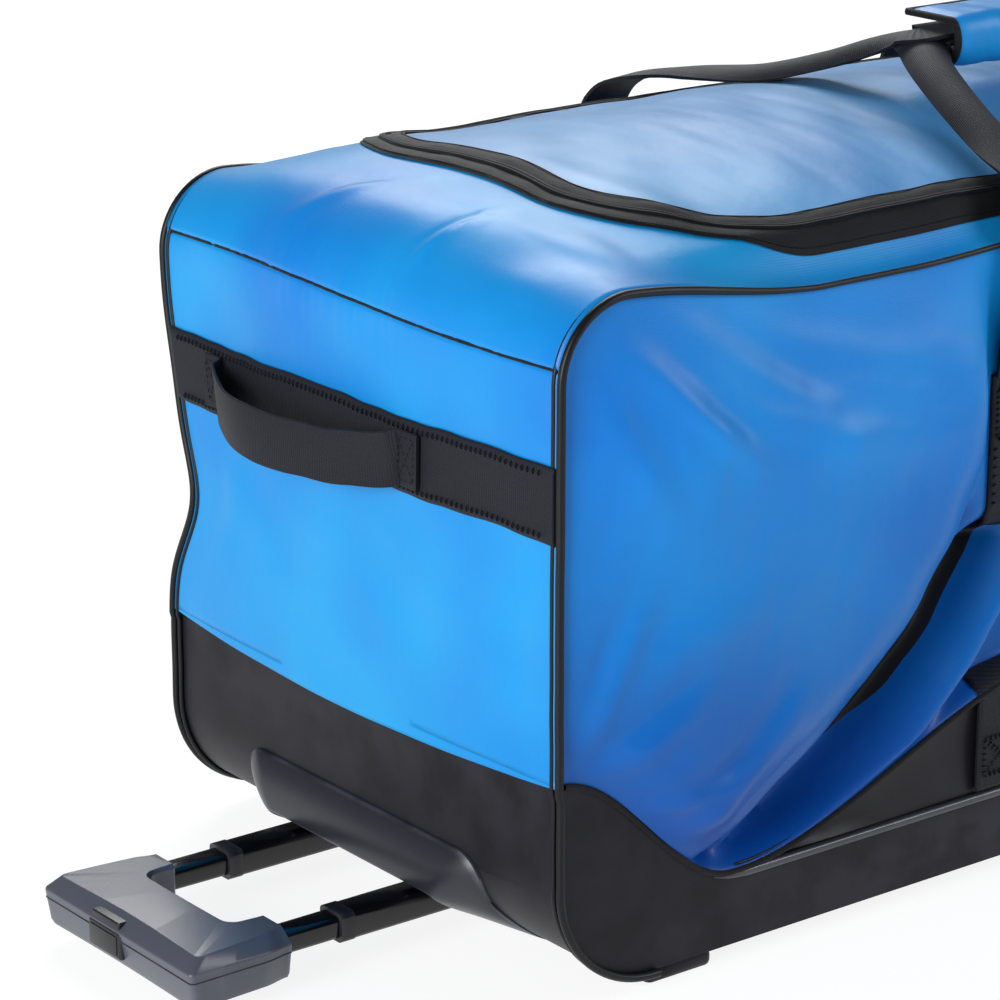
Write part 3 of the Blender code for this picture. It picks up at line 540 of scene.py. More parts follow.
blueCloth = coatedCloth("blueCoatedCloth", linear(4, 112, 190), linear(12, 140, 202))
# The side's copy of the blue cloth, darker towards the bottom: painted shade.
shadedSideCloth = coatedCloth("blueSideClothShadedLow", linear(1, 106, 190), linear(4, 136, 212), lower=linear(0, 70, 150))
# The lid's copy of the same blue cloth, paler and whiter: a painted sheen where the top light reflects off the
# lid.
litLidCloth = coatedCloth("paleLidClothPaintedSheen", linear(52, 124, 186), linear(80, 148, 202), shine=0.40)
liningCloth = coatedCloth("darkLining", linear(14, 16, 21), linear(22, 24, 31), 0.0008, 0.55, 0.25)
skirtCloth = coatedCloth("charcoalSkirt", linear(15, 15, 21), linear(23, 23, 31), 0.0008, 0.48, 0.28)
pipingCloth = coatedCloth("blackPiping", linear(5, 6, 9), linear(9, 10, 15), 0.0008, 0.42, 0.26)
webbing = wovenTape("charcoalWebbing", linear(16, 18, 25), linear(38, 41, 53))
bindingTape = wovenTape("blackBinding", linear(8, 8, 12), linear(22, 23, 29), 0.0009)
zipTape = wovenTape("zipTapeWeave", linear(6, 8, 12), linear(18, 21, 29), 0.0012, 0.60, 0.18, 0.03)
thread = wovenTape("blackThread", linear(14, 15, 20), linear(30, 31, 39), 0.0006)
# The second colour of each moulded plastic lightens its edges: partly rubbed wear, partly a painted highlight.
tubPlastic = moulded("charcoalPlastic", linear(12, 12, 18), linear(38, 38, 48), 0.48, specular=0.20)
# A lighter copy of the base's charcoal plastic for the rim lip: a painted highlight along the lip.
lipPlasticPaintedHighlight = moulded("lipPlasticPaintedHighlight", linear(44, 44, 53), linear(120, 120, 132), 0.34)
bezelPlastic = moulded("bezelPlastic", linear(30, 31, 39), linear(110, 112, 124), 0.34, specular=0.45)
greyPlastic = moulded("greyPlastic", linear(66, 69, 80), linear(160, 164, 176), 0.30)
darkPlastic = moulded("darkPlastic", linear(14, 14, 18), linear(52, 52, 60), 0.36, specular=0.4)
anodised = drawnMetal("anodisedTube", linear(4, 4, 7), linear(8, 8, 12), 0.1, 0.16)
steel = drawnMetal("zincSteel", linear(170, 170, 174), linear(205, 205, 208), 1.0, 0.26, (60.0, 400.0, 400.0))
rubber = plainRough("tyreRubber", linear(22, 22, 23), linear(38, 37, 37), 0.72, 260.0, 0.00025)
boardFinish = plainRough("fibreBoard", linear(62, 60, 58), linear(84, 82, 78), 0.75, 120.0, 0.0003)
print("finishes made")


# A patch of the gusset's cloth, its UVs the run and the place across.
def skinPatch(s, y, owner=0):
    s, y = np.broadcast_arrays(s, y)
    return gusset(s, y, bag["cloth"]), np.stack([s, y], -1), owner


# Half the width of the lid opening along the run, rounded at the handle end.
def openingHalf(s):
    r = lid["corner"]
    into = np.clip(s - lidEdge, 0, r)
    return lid["halfWidth"] - r + np.sqrt(np.maximum(r * r - (r - into) ** 2, 0))


# Rows along the lid's rounded corner, by equal steps of its angle.
def lidCornerRows():
    return lidEdge + lid["corner"] * (1 - np.cos(np.linspace(0, math.pi / 2, 22)))


skin = {"rowsAcross": 14, "middleRows": 66, "sag": 0.008, "hang": 0.0012, "seamBand": 0.007}


# Both ends and the top but for the lid's opening: the gusset in two side strips and a middle one at each end.
def makeSkin():
    corner = lidCornerRows()
    seamAt = endRun + bag["browSeam"]
    close = skin["seamBand"]  # rows lie closer together this far to both sides of the brow seams
    beforeLid = np.concatenate([
        np.linspace(0, seamAt - close, 66)[:-1],
        np.linspace(seamAt - close, seamAt + close, 30),
        np.linspace(seamAt + close, lidEdge, 44)[1:],
    ])
    handleEnd = np.concatenate([beforeLid, corner[1:]])
    rest = np.linspace(corner[-1], lidFold, 210)[1:]
    wheelEnd = np.concatenate([
        np.linspace(lidFold, wholeRun - seamAt - close, 40)[1:],
        np.linspace(wholeRun - seamAt - close, wholeRun - seamAt + close, 30)[1:],
        np.linspace(wholeRun - seamAt + close, wholeRun, 60)[1:],
    ])
    s = np.concatenate([handleEnd, rest, wheelEnd])[:, None]
    narrow = lid["halfWidth"] - lid["corner"]
    inner = np.where(s < lidEdge, narrow, openingHalf(s))
    v = spread(0, 1, skin["rowsAcross"], 1.3)[None, :]
    patches = [skinPatch(s, sign * (halfWidth + (inner - halfWidth) * v)) for sign in (-1, 1)]
    middle = np.linspace(-1, 1, skin["middleRows"])[None, :]
    patches.append(skinPatch(beforeLid[:, None], middle * narrow))
    last = np.concatenate([[lidFold], wheelEnd])[:, None]
    patches.append(skinPatch(last, middle * lid["halfWidth"]))
    # The hem hangs a little over the base's rim, lowest in the middle.
    outside = spread(narrow, halfWidth, 20)
    across = np.concatenate([-outside[::-1], middle[0] * narrow, outside])[None, :]
    hem = np.linspace(0, -1, 5)[:, None] * (skin["hang"] + skin["sag"] * (1 - (across / halfWidth) ** 2))
    patches += [skinPatch(run, across) for run in (hem, wholeRun - hem)]
    piece = makePiece(
        "endAndTopSkin",
        patches,
        "bag",
        (blueCloth, liningCloth),
        bag["insidePoint"],
        ("handle_end_panel", "handle_end_brow", "near_top_rail", "far_top_rail", "wheel_end_brow",
         "wheel_end_panel"),
    )
    thicken(piece, bag["skinThick"], 1)


# The lid: the part of the gusset inside the opening.
def makeLid():
    corner = lidCornerRows()
    s = np.concatenate([corner, np.linspace(corner[-1], lidFold, 200)[1:]])[:, None]
    v = np.linspace(-1, 1, 80)[None, :]
    piece = makePiece(
        "lidSkin",
        [skinPatch(s, v * (openingHalf(s) - 0.0006))],
        None,
        (litLidCloth, liningCloth),
        bag["insidePoint"],
        ("lid_panel",),
    )
    thicken(piece, bag["skinThick"], 1)
    return piece


# The seam below each brow: a thin dark cord carried across the end, waving a little.
def makeBrowSeams():
    y = np.linspace(-halfWidth + 0.002, halfWidth - 0.002, 160)
    patches = []
    for end in (0, 1):
        line = endRun + bag["browSeam"] + 0.003 * np.sin(y * 11)
        s = wholeRun - line if end else line
        path = gusset(s, y, bag["cloth"] + 0.0002)
        patches.append((*sweep(path, alongZ, circle(0.0011, 8, 0.7)), 0))
    makePiece("browSeams", patches, "bag", (thread,))


sides = {"depth": 0.0238, "strapAt": 0.35, "strapHalf": 0.019, "overEdge": 0.0026, "seeds": {-1: 20, 1: 40}}
fold = {"at": 0.336, "lean": 3.36, "below": 0.338, "low": 0.092, "high": 0.258}

# x from the handle end and z of the start and of the end, width, height
sideCreases = (
    ((0.030, 0.415), (0.150, 0.300), 0.0100, 0.0045),
    ((0.060, 0.425), (0.200, 0.350), 0.0090, 0.0035),
    ((0.020, 0.385), (0.080, 0.270), 0.0120, 0.0022),
    ((0.110, 0.415), (0.290, 0.372), 0.0110, 0.0034),
    ((0.170, 0.330), (0.300, 0.300), 0.0180, 0.0030),
    ((0.008, 0.150), (0.060, 0.260), 0.0080, 0.0034),
    ((0.012, 0.135), (0.110, 0.200), 0.0090, 0.0038),
    ((0.030, 0.110), (0.150, 0.140), 0.0070, 0.0030),
    ((0.070, 0.085), (0.190, 0.190), 0.0100, 0.0038),
    ((0.100, 0.078), (0.215, 0.150), 0.0070, 0.0030),
    ((0.040, 0.200), (0.150, 0.250), 0.0160, 0.0024),
)


# Where the first fold lies, as a distance from the bag's end: a parabola that leans to the end below a height.
# Also its slope's length, which turns a distance along x into one across the fold.
def foldLine(z):
    drop = np.maximum(fold["below"] - z, 0)
    return fold["at"] - fold["lean"] * drop**2, np.sqrt(1 + (2 * fold["lean"] * drop) ** 2)


# Depth of the side off its flat panel: an end pillow whose inner edge rolls over in a curve,
# then a fold, a deep recess and a second fold above the skirt, and a shallow pillow between the straps.
def sideDepth(x, z, sign):
    end, seed = halfLength - np.abs(x), sides["seeds"][sign]
    low, top = blueEdge(x), sideTop(x)
    atFold, slope = foldLine(z)
    past = (end - atFold) / slope
    fromTop = smooth((top - z) / 0.115) ** 0.62
    fromRim = smooth((z - low) / 0.045) ** 0.6
    pillow = sides["depth"] * smooth((0.003 - past) / 0.042) ** 0.42 * smooth(end / 0.105) ** 0.62
    pillow = pillow * fromTop * fromRim
    shelf = smooth((past + 0.002) / 0.007) * (1 - smooth((end - 0.375) / 0.06))
    folds = -0.031 + 0.019 * bell(past - 0.015, 0.0090) - 0.006 * bell(past - 0.036, 0.006)
    folds = folds + 0.037 * bell(past - 0.060, 0.0140) + 0.016 * smooth((past - 0.066) / 0.03)
    lower = smooth((0.262 - z) / 0.040) * smooth((z - low) / 0.012)
    beside = smooth((np.abs(end - sides["strapAt"]) - sides["strapHalf"]) / 0.020)
    tied = 1 - (1 - beside) * smooth((z - 0.222) / 0.030)
    middle = smooth((end - sides["strapAt"] - sides["strapHalf"]) / 0.09) ** 0.7
    centre = 0.018 * middle * fromTop * smooth((z - low) / 0.07) ** 0.7
    depth = (pillow + shelf * folds * lower) * tied + centre
    rough = fromTop * fromRim * smooth(end / 0.03) * (0.25 + 0.75 * tied)
    for start, finish, width, height in sideCreases:
        depth = depth + rough * crease(end, z, start, finish, width, height) * smooth((0.02 - past) / 0.03)
    dents = unevenness(x, z, seed, 0.26) * 0.0026 + unevenness(x, z, seed + 1, 0.09) * 0.0008
    return depth + rough * dents


# A blue side panel, the skirt under it and the binding between them.
def makeSide(name, sign):
    t = np.linspace(0, math.pi, 300)
    x = (-halfLength * np.cos(t) * 0.35 + halfLength * (2 * t / math.pi - 1) * 0.65)[:, None]
    v = spread(0, 1, 110, 1.25)[None, :]
    low, top = blueEdge(x), sideTop(x)
    z = low + (top - low) * v
    depth = sideDepth(x, z, sign)
    uv = joined(x, z)
    # the outline reaches out to meet the skin's edge
    wide = x * (1 + sides["overEdge"] / halfLength)
    high = z + sides["overEdge"] * smooth((v - 0.9) / 0.1)
    points = settle(joined(wide, sign * (halfWidth + depth), high))
    panel = makePiece(
        name + "SidePanel", [(points, uv, 0)], "bag", (shadedSideCloth, liningCloth),
        bag["insidePoint"], (name + "_side_panel",),
    )
    thicken(panel, bag["skinThick"], 1)
    # skirt between the moulded rim and the blue panel, drawn in under it
    x = np.linspace(-halfLength + 0.135, halfLength - 0.295, 150)[:, None]
    v = np.linspace(0, 1, 24)[None, :]
    low, top = rimHeight(x) - 0.001, blueEdge(x) + 0.0015
    z = low + (top - low) * v
    depth = -0.0016 - 0.0035 * np.sin(math.pi * v) + 0.0012 * unevenness(x, z, 61, 0.12) * np.sin(math.pi * v)
    points = settle(joined(x, sign * (halfWidth + depth), z))
    uv = joined(x, z)
    skirt = makePiece(
        name + "Skirt", [(points, uv, 0)], "bag", (skirtCloth, liningCloth),
        bag["insidePoint"], (name + "_skirt",),
    )
    thicken(skirt, bag["skinThick"], 1)
    # binding along the blue panel's lower edge
    x = np.linspace(-halfLength + 0.002, halfLength - 0.002, 260)
    path = np.stack([x, np.full_like(x, sign * (halfWidth + 0.0008)), blueEdge(x) - 0.0004], 1)
    makePiece(
        name + "EdgeBinding", [(*sweep(settle(path), alongY, circle(0.0019, 10)), 0)],
        "bag", (bindingTape,),
    )


# Dark cloth at the bottom of the recess between the side's two folds, standing in for the deep shade there:
# painted shade. A strip along the fold line, arched up in its middle and sunk at its edges.
def makeFoldShadeStrip(name, sign):
    patches = []
    z = np.linspace(fold["low"], fold["high"], 90)[:, None]
    v = np.linspace(-1, 1, 21)[None, :]
    share = smooth((z - fold["low"]) / 0.05) * smooth((fold["high"] - z) / 0.03)
    atFold, slope = foldLine(z)
    for place in (-1, 1):
        x = place * (halfLength - (atFold + (0.035 + 0.0135 * v * share) * slope))
        depth = sideDepth(x, z, sign) + 0.0036 * share - 0.0080 * v**2
        patches.append((settle(joined(x, sign * (halfWidth + depth), z)), joined(x, z), 0))
    makePiece(name + "FoldShadeStrip", patches, "bag", (pipingCloth,), bag["insidePoint"])


piping = (  # distance out from the gusset, place across from the side's face, radius
    (0.0026, 0.0022, 0.0026),
    (0.0028, -0.0040, 0.0016),
)


# Piping: the bead that closes each side seam, and the narrower bead beside it on the gusset.
def makePiping(name, sign):
    r = bag["lowRadius"]
    turn = np.linspace(-math.pi / 2, -math.pi, 26)[:-1]
    centre = (-halfLength + r, tubLow + r)
    lowX, lowZ = centre[0] + r * np.cos(turn), centre[1] + r * np.sin(turn)
    lowX[0] += 0.003
    wallZ = np.linspace(tubLow + r, bag["rimEnds"], 16)[:-1]
    s = np.linspace(0, wholeRun, 420)
    x, z, nx, nz = gussetProfile(s)
    downZ = np.linspace(bag["rimEnds"], 0.115, 8)[1:]
    x = np.concatenate([lowX, np.full(15, -halfLength), x, np.full(7, halfLength)])
    z = np.concatenate([lowZ, wallZ, z, downZ])
    nx = np.concatenate([np.cos(turn), np.full(15, -1.0), nx, np.full(7, 1.0)])
    nz = np.concatenate([np.sin(turn), np.zeros(15), nz, np.zeros(7)])
    wander = 0.0007 * unevenness(runAlong(np.stack([x, z], 1)), x * 0, 12, 0.22)
    patches = []
    onBase = 1 - 0.5 * (np.arange(len(x)) < len(lowX) + 14)
    slim = 1 - 0.34 * smooth((halfLength - 0.075 - np.abs(x)) / 0.12) * (z > 0.2)
    for out, across, radius in piping:
        y = np.full_like(x, sign * (halfWidth + across)) + sign * wander
        path = settle(np.stack([x + nx * out * onBase, y, z + nz * out * onBase], 1))
        patches.append((*sweep(path, alongY, circle(radius, 14), scale=slim), 0))
    makePiece(name + "Piping", patches, "bag", (pipingCloth,), None, (name + "_piping",))


# Points of the U that the zip follows, moved sideways by an offset, outward positive.
def zipPath(t, offset):
    r = lid["corner"]
    straight = lidFold - lidEdge - r - 0.004
    bend = math.pi / 2 * r
    across = 2 * (lid["halfWidth"] - r)
    run = 2 * (straight + bend) + across
    d = t * run
    sign = np.where(d > run / 2, 1.0, -1.0)
    d = np.minimum(d, run - d)
    turn = np.clip((d - straight) / r, 0, math.pi / 2)
    outS, outY = -np.sin(turn), sign * np.cos(turn)
    s = lidFold - 0.004 - np.minimum(d, straight) - r * np.sin(turn)
    y = sign * (lid["halfWidth"] - r + r * np.cos(turn) - np.maximum(d - straight - bend, 0))
    return s + outS * offset, y + outY * offset, t * run


zipper = {"tape": 0.0142, "lift": 0.0006, "tapeThick": 0.0014}


# Half of the zip's tape between two offsets, arched across and waving a little along its run.
def zipStrip(inner, outer, seed):
    t = np.linspace(0, 1, 620)[:, None]
    v = np.linspace(0, 1, 9)[None, :]
    offset = inner + (outer - inner) * v
    s, y, run = zipPath(t, offset)
    wave = 0.0009 * unevenness(run, run * 0, seed, 0.11) + 0.0003 * unevenness(run, run * 0, seed + 1, 0.03)
    fold = np.sin(math.pi * v) ** 0.7
    lift = bag["cloth"] + zipper["lift"] + zipper["tapeThick"] * (0.35 + 0.65 * fold) + np.abs(wave) * fold
    uv = joined(run, offset)
    return gusset(s, y, lift), uv


# The two tapes with their coils and stitch lines, one on the bag and one on the lid.
def makeZip():
    pieces = []
    for name, sign, body in (("zipTapeFixed", 1, "bag"), ("zipTapeLid", -1, None)):
        patches = [(*zipStrip(0.0005 * sign, sign * zipper["tape"], 70 + sign), 0)]
        t = np.linspace(0, 1, 900)
        s, y, _ = zipPath(t, np.full_like(t, 0.0009 * sign))
        path = gusset(s, y, bag["cloth"] + zipper["tapeThick"] + 0.0012)
        patches.append((*sweep(path, alongZ, circle(0.0009, 8, 1.3)), 1))
        for edge in (0.0024, zipper["tape"] - 0.0022):
            s, y, _ = zipPath(t, np.full_like(t, edge * sign))
            path = gusset(s, y, bag["cloth"] + zipper["tapeThick"] + 0.0009)
            patches.append((*sweep(path, alongZ, circle(0.00035, 6)), 2))
        replaced = ("zip_tape_fixed",) if sign > 0 else ("zip_tape_lid",)
        finishes = (zipTape, darkPlastic, thread)
        pieces.append(makePiece(name, patches, body, finishes, bag["insidePoint"], replaced))
    return pieces


band = {"middle": 0.312, "height": 0.046, "thick": 0.0022, "loopFrom": -0.064, "loopTo": 0.135, "bow": 0.030,
        "loopWidth": 0.034, "sewn": 0.018}


# Rows of short stitches: small capsules along lines given on a surface.
def stitchRow(surface, start, end, pitch=0.0040, long=0.0028, radius=0.00030):
    a, b = np.array(start, float), np.array(end, float)
    run = np.linalg.norm(b - a)
    count = max(int(run / pitch), 1)
    patches = []
    for k in range(count):
        t = (k + 0.5) / count + np.array([-0.5, -0.2, 0.2, 0.5]) * long / run
        where = a[None] + (b - a)[None] * t[:, None]
        path = surface(where[:, 0], where[:, 1])
        side = np.array([[0.31, 0.52, 0.79]])
        patches.append((*sweep(path, side, circle(radius, 5), scale=np.array([0.5, 1, 1, 0.5])), 1))
    return patches


# A sewn box with a cross in it, on a surface of two parameters.
def boxStitch(surface, low, high):
    (a0, b0), (a1, b1) = low, high
    corners = [(a0, b0), (a1, b0), (a1, b1), (a0, b1)]
    lines = list(zip(corners, corners[1:] + corners[:1])) + [(corners[0], corners[2]), (corners[1], corners[3])]
    return [patch for start, end in lines for patch in stitchRow(surface, start, end)]


# The webbing band across an end, and the grab loop that stands off it in a raised sine.
def makeEndBand(name, atWheels):
    sMiddle = band["middle"] - bag["rimEnds"]
    end = "wheel_end" if atWheels else "handle_end"

    def surface(a, b, lift=0.0):
        wavy = 0.0013 * unevenness(a, a * 0, 31, 0.13)
        s = sMiddle + b + wavy
        s = wholeRun - s if atWheels else s
        return gusset(s, a, bag["cloth"] + 0.0004 + band["thick"] + lift)

    y = np.linspace(-halfWidth + 0.001, halfWidth - 0.001, 150)[:, None]
    b = spread(-band["height"] / 2, band["height"] / 2, 16, 1.5)[None, :]
    edge = 1 - smooth((band["height"] / 2 - np.abs(b)) / 0.002)
    uv = joined(y, b)
    patches = [(surface(y, b, -0.0015 * edge), uv, 0)]
    half = band["height"] / 2 - 0.0048
    for level in (-half, half):
        patches += stitchRow(lambda p, q: surface(p, q, 0.0002), (-0.19, level), (0.19, level), 0.0045)
    base = makePiece(
        name + "Band", patches, "bag", (webbing, thread), bag["insidePoint"],
        (end + "_band",),
    )
    thicken(base, band["thick"])
    # the grab loop, bowed out from its two sewn ends
    u = np.linspace(0, 1, 120)
    along = band["loopFrom"] - band["sewn"] + (band["loopTo"] - band["loopFrom"] + 2 * band["sewn"]) * u
    inside = np.clip((along - band["loopFrom"]) / (band["loopTo"] - band["loopFrom"]), 0, 1)
    bow = np.sin(math.pi * inside) ** 0.62 * band["bow"]
    width = band["loopWidth"]
    centre = surface(along, along * 0, 0.0026 + bow)
    way = unit(surface(along, along * 0 + 0.01, 0.0026 + bow) - centre)
    centre = centre + np.stack([bow * 0, bow * 0, -0.25 * bow], 1)
    patches = [(*ribbon(centre, way, width, band["thick"]), 0)]

    def onLoop(a, b):
        k = np.clip((a - along[0]) / (along[-1] - along[0]) * (len(along) - 1), 0, len(along) - 1)
        low = np.floor(k).astype(int).clip(0, len(along) - 2)
        share = (k - low)[:, None]
        point = centre[low] * (1 - share) + centre[low + 1] * share
        out = np.array([[1.0 if atWheels else -1.0, 0.0, 0.0]])
        return point + way[low] * b[:, None] + out * 0.0014

    for ends in ((along[0] + 0.003, band["loopFrom"] - 0.001), (band["loopTo"] + 0.001, along[-1] - 0.003)):
        patches += boxStitch(onLoop, (ends[0], -width / 2 + 0.004), (ends[1], width / 2 - 0.004))
    makePiece(
        name + "GrabLoop", patches, "bag", (webbing, thread), None,
        (end + "_grab_loop",),
    )


webs = {"low": 0.062, "high": 0.338, "thick": 0.0022, "behind": 0.0065, "boxes": ((0.292, 0.326), (0.072, 0.096))}


# Webs up the sides: on the panel above, behind its lower folds, and on the skirt below.
def makeSideWebs():
    for sign, name in bothSides:
        for place, part in ((-1, "front"), (1, "rear")):
            middle = place * (halfLength - sides["strapAt"])

            def surface(a, b):
                x = middle + b
                low = blueEdge(x)
                depth = sideDepth(x, a, sign)
                behind = smooth((0.240 - a) / 0.018) * smooth((a - low) / 0.016)
                out = np.maximum(depth, -0.003) + webs["thick"]
                out = out + behind * (depth - webs["behind"] - out)
                return settle(joined(x, sign * (halfWidth + out), a))

            z = np.linspace(webs["low"], webs["high"], 110)[:, None]
            b = np.linspace(-sides["strapHalf"], sides["strapHalf"], 11)[None, :]
            patches = [(surface(z + 0 * b, b + 0 * z), joined(z, b), 0)]

            def over(a, b):
                return surface(a, b) + np.array([0.0, sign * 0.0003, 0.0])

            for low, high in webs["boxes"]:
                patches += boxStitch(over, (low, -0.014), (high, 0.014))
            for b in (-0.015, 0.015):
                patches += stitchRow(over, (0.248, b), (0.288, b), 0.0050)
            web = makePiece(f"{name}{part.title()}Web", patches, "bag", (webbing, thread),
                            bag["insidePoint"], (f"{name}_{part}_web",))
            thicken(web, webs["thick"])


strap = {"width": 0.038, "thick": 0.0025, "height": 0.500, "gripY": -0.030, "bowOut": 0.0115, "pivot": 0.330,
         "footOut": 0.005, "edgeInset": 0.045, "leadIn": 0.005, "crossing": 0.463, "wrapLength": 0.130}


# Half of a strap's middle line, for x below 0: up the side, leaning in over the lid, level along the grip.
def strapHalf(sign, level):
    foot, end = sides["strapAt"] - halfLength, sign * strap["gripY"]
    reach = -strap["wrapLength"] / 2 - strap["leadIn"] - foot
    over, out = halfWidth + strap["bowOut"], halfWidth + strap["footOut"]

    def overLid(share, lean, climb):
        y = halfWidth - strap["edgeInset"]
        rise = (level - strap["crossing"]) * climb
        if sign > 0:
            rise -= 0.006 * (1 - share) + 0.012 * math.sin(math.pi * share)
            lean += 0.25 * (1 - share)
        return (foot + reach * lean, y + (end - y) * share, strap["crossing"] + rise)

    return [
        (foot, out, strap["pivot"] + 0.001),
        (foot + reach * 0.02, out + 0.003, strap["pivot"] + 0.035),
        (foot + reach * 0.10, over, seamHeight - 0.020),
        (foot + reach * 0.15, over - 0.0015, seamHeight + 0.008),
        (foot + reach * 0.21, halfWidth - 0.012, seamHeight + 0.026),
        overLid(0.0, 0.30, 0.0),
        overLid(0.35, 0.46, 0.42),
        overLid(0.62, 0.62, 0.72),
        overLid(0.80, 0.76, 0.89),
        overLid(0.93, 0.90, 0.98),
        overLid(1.0, 1.0, 1.0),
        overLid(1.0, 1.35, 1.0),
        (0.0, end, level),
    ]


# A carry strap: two curved faces either side of its middle line, closed by narrow walls.
def makeStrap(name, sign, level, body):
    half = catmullRom(strapHalf(sign, level), 8) * np.array([1, sign, 1])
    line = np.concatenate([half, half[-2::-1] * np.array([-1, 1, 1])])
    share = smooth((line[:, 2] - seamHeight + 0.01) / 0.055)
    out = np.stack([0 * share, sign * (1 - share), share + 0.02], 1)
    side = np.cross(tangents(line), out)
    # cross section: flat on the side, cupped lengthwise where the strap rises to the grip
    t = tangents(line)
    across = unit(side - (side * t).sum(1, keepdims=True) * t)
    up = np.cross(across, t)
    up *= np.sign((up * out).sum(1, keepdims=True))
    rise = smooth((line[:, 2] - seamHeight - 0.018) / 0.03) * smooth((np.abs(line[:, 0]) - 0.066) / 0.02)
    cup = 0.02 + 1.15 * rise
    v = np.linspace(-1, 1, 15)
    thick = strap["thick"] / 2
    angle = cup[:, None] * v[None, :]
    bend = strap["width"] / 2 / cup[:, None]
    sideways = bend * np.sin(angle)
    lower = -bend * (1 - np.cos(angle)) + bend * (1 - np.cos(cup[:, None])) * 0.35
    run = np.broadcast_to(runAlong(line)[:, None], sideways.shape)
    layers = []
    for face in (1, -1):
        a = sideways + face * thick * np.sin(angle) * 0.9
        b = lower + face * thick * np.cos(angle)
        points = line[:, None] + across[:, None] * a[..., None] + up[:, None] * b[..., None]
        uv = np.stack([run, np.broadcast_to(v * strap["width"] / 2, run.shape)], -1)
        layers.append((points, uv, 0))
    first, second = layers[0][0], layers[1][0]
    for column in (0, -1):
        wall = np.stack([first[:, column], second[:, column]], 1)
        layers.append((wall, np.stack([run[:, :2], run[:, :2] * 0], -1), 0))
    for row in (0, -1):
        wall = np.stack([first[row], second[row]], 1)
        layers.append((wall, None, 0))
    replaced = ("near_strap",) if sign < 0 else ("far_strap",)
    makePiece(name, layers, body, (webbing,), None, replaced)


wrap = {"wall": 0.0068, "round": 0.011, "fill": 0.6, "binding": 0.0024}


# The padded wrap: a C-shaped sleeve, plump between its bound edges, its mouth to the far side.
def makeWrap():
    low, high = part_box("strap_wrap")
    wall, r = wrap["wall"], wrap["round"]
    u = np.linspace(-1, 1, 60)
    half = (high.x - low.x) / 2
    centreY, centreZ = (low.y + high.y) / 2, (low.z + high.z) / 2
    reachY, reachZ = (high.y - low.y) / 2, (high.z - low.z) / 2
    # outline of the C as a path of (y, z): along the top, round the near side, back along the bottom
    top = np.stack([np.linspace(reachY, -reachY + r, 16), np.full(16, reachZ - wall / 2)], 1)
    turn = np.linspace(math.pi / 2, math.pi * 1.5, 17)[1:-1]
    ry, rz = r - wall / 2, reachZ - wall / 2
    bend = np.stack([-reachY + r + ry * np.cos(turn), rz * np.sin(turn)], 1)
    bottom = np.stack([np.linspace(-reachY + r, reachY, 16), np.full(16, -reachZ + wall / 2)], 1)
    line = np.concatenate([top, bend, bottom])
    normal = np.gradient(line, axis=0)
    normal = np.stack([normal[:, 1], -normal[:, 0]], 1)
    normal /= np.linalg.norm(normal, axis=1, keepdims=True)
    if (normal * line).sum() < 0:
        normal = -normal
    run = runAlong(flatIn3d(line))
    share = run / run[-1]
    edgeU = smooth((1 - np.abs(u)) / 0.16)[:, None]
    edgeV = smooth(np.minimum(share, 1 - share) / 0.10)[None, :]
    plump = 0.35 + 0.65 * (edgeU * edgeV) ** 0.6
    puff = 0.0006 * unevenness(u[:, None] * half, run[None, :], 81, 0.05) * edgeU * edgeV
    grids = []
    for face in (1, -1):
        off = face * (wall / 2) * plump + (puff if face > 0 else 0)
        yz = line[None] + normal[None] * off[..., None]
        x = np.broadcast_to((u * half)[:, None], off.shape)
        points = np.stack([x, centreY + yz[..., 0], centreZ + yz[..., 1]], -1)
        uv = joined((u * half)[:, None], run[None, :])
        grids.append((points, uv, 0 if face > 0 else 1))
    outer, inner = grids[0][0], grids[1][0]
    for wallPoints in (
        np.stack([outer[0], inner[0]], 1), np.stack([outer[-1], inner[-1]], 1),
        np.stack([outer[:, 0], inner[:, 0]], 1), np.stack([outer[:, -1], inner[:, -1]], 1),
    ):
        grids.append((wallPoints, None, 1))
    piece = makePiece("strapWrap", grids, "near_carry_strap", (blueCloth, liningCloth), None,
                      ("strap_wrap",))
    # binding round the four edges of the wrap
    middle = (outer + inner) / 2
    loop = np.concatenate([middle[0], middle[1:-1, -1], middle[-1, ::-1], middle[-2:0:-1, 0], middle[:1, 0]])
    step = np.gradient(loop, axis=0)
    side = np.cross(unit(step), np.array([[0.3, 0.2, 1.0]]))
    makePiece("wrapBinding", [(*sweep(loop, side, circle(wrap["binding"], 10), caps=False), 0)],
              "near_carry_strap", (bindingTape,))


# A carried-over node: a merged copy of its mesh with softened edges.
def refined(node, name, body, finish, bevel=0.0008, segments=2, sharp=35):
    mesh = frame["nodes"][node].data.copy()
    mesh.name = name
    form = bmesh.new()
    form.from_mesh(mesh)
    bmesh.ops.remove_doubles(form, verts=form.verts, dist=0.00002)
    bmesh.ops.dissolve_limit(form, angle_limit=0.002, verts=form.verts, edges=form.edges)
    form.to_mesh(mesh)
    form.free()
    mesh.shade_smooth()
    mesh.set_sharp_from_angle(angle=math.radians(sharp))
    piece = enlist(name, mesh, body, (finish,), (node,))
    if bevel:
        addModifier(piece, "BEVEL", width=bevel, segments=segments, limit_method="ANGLE",
                    angle_limit=math.radians(32), harden_normals=True)
    return piece


def bodyOf(node):
    return frame["nodes"][node]["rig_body"]


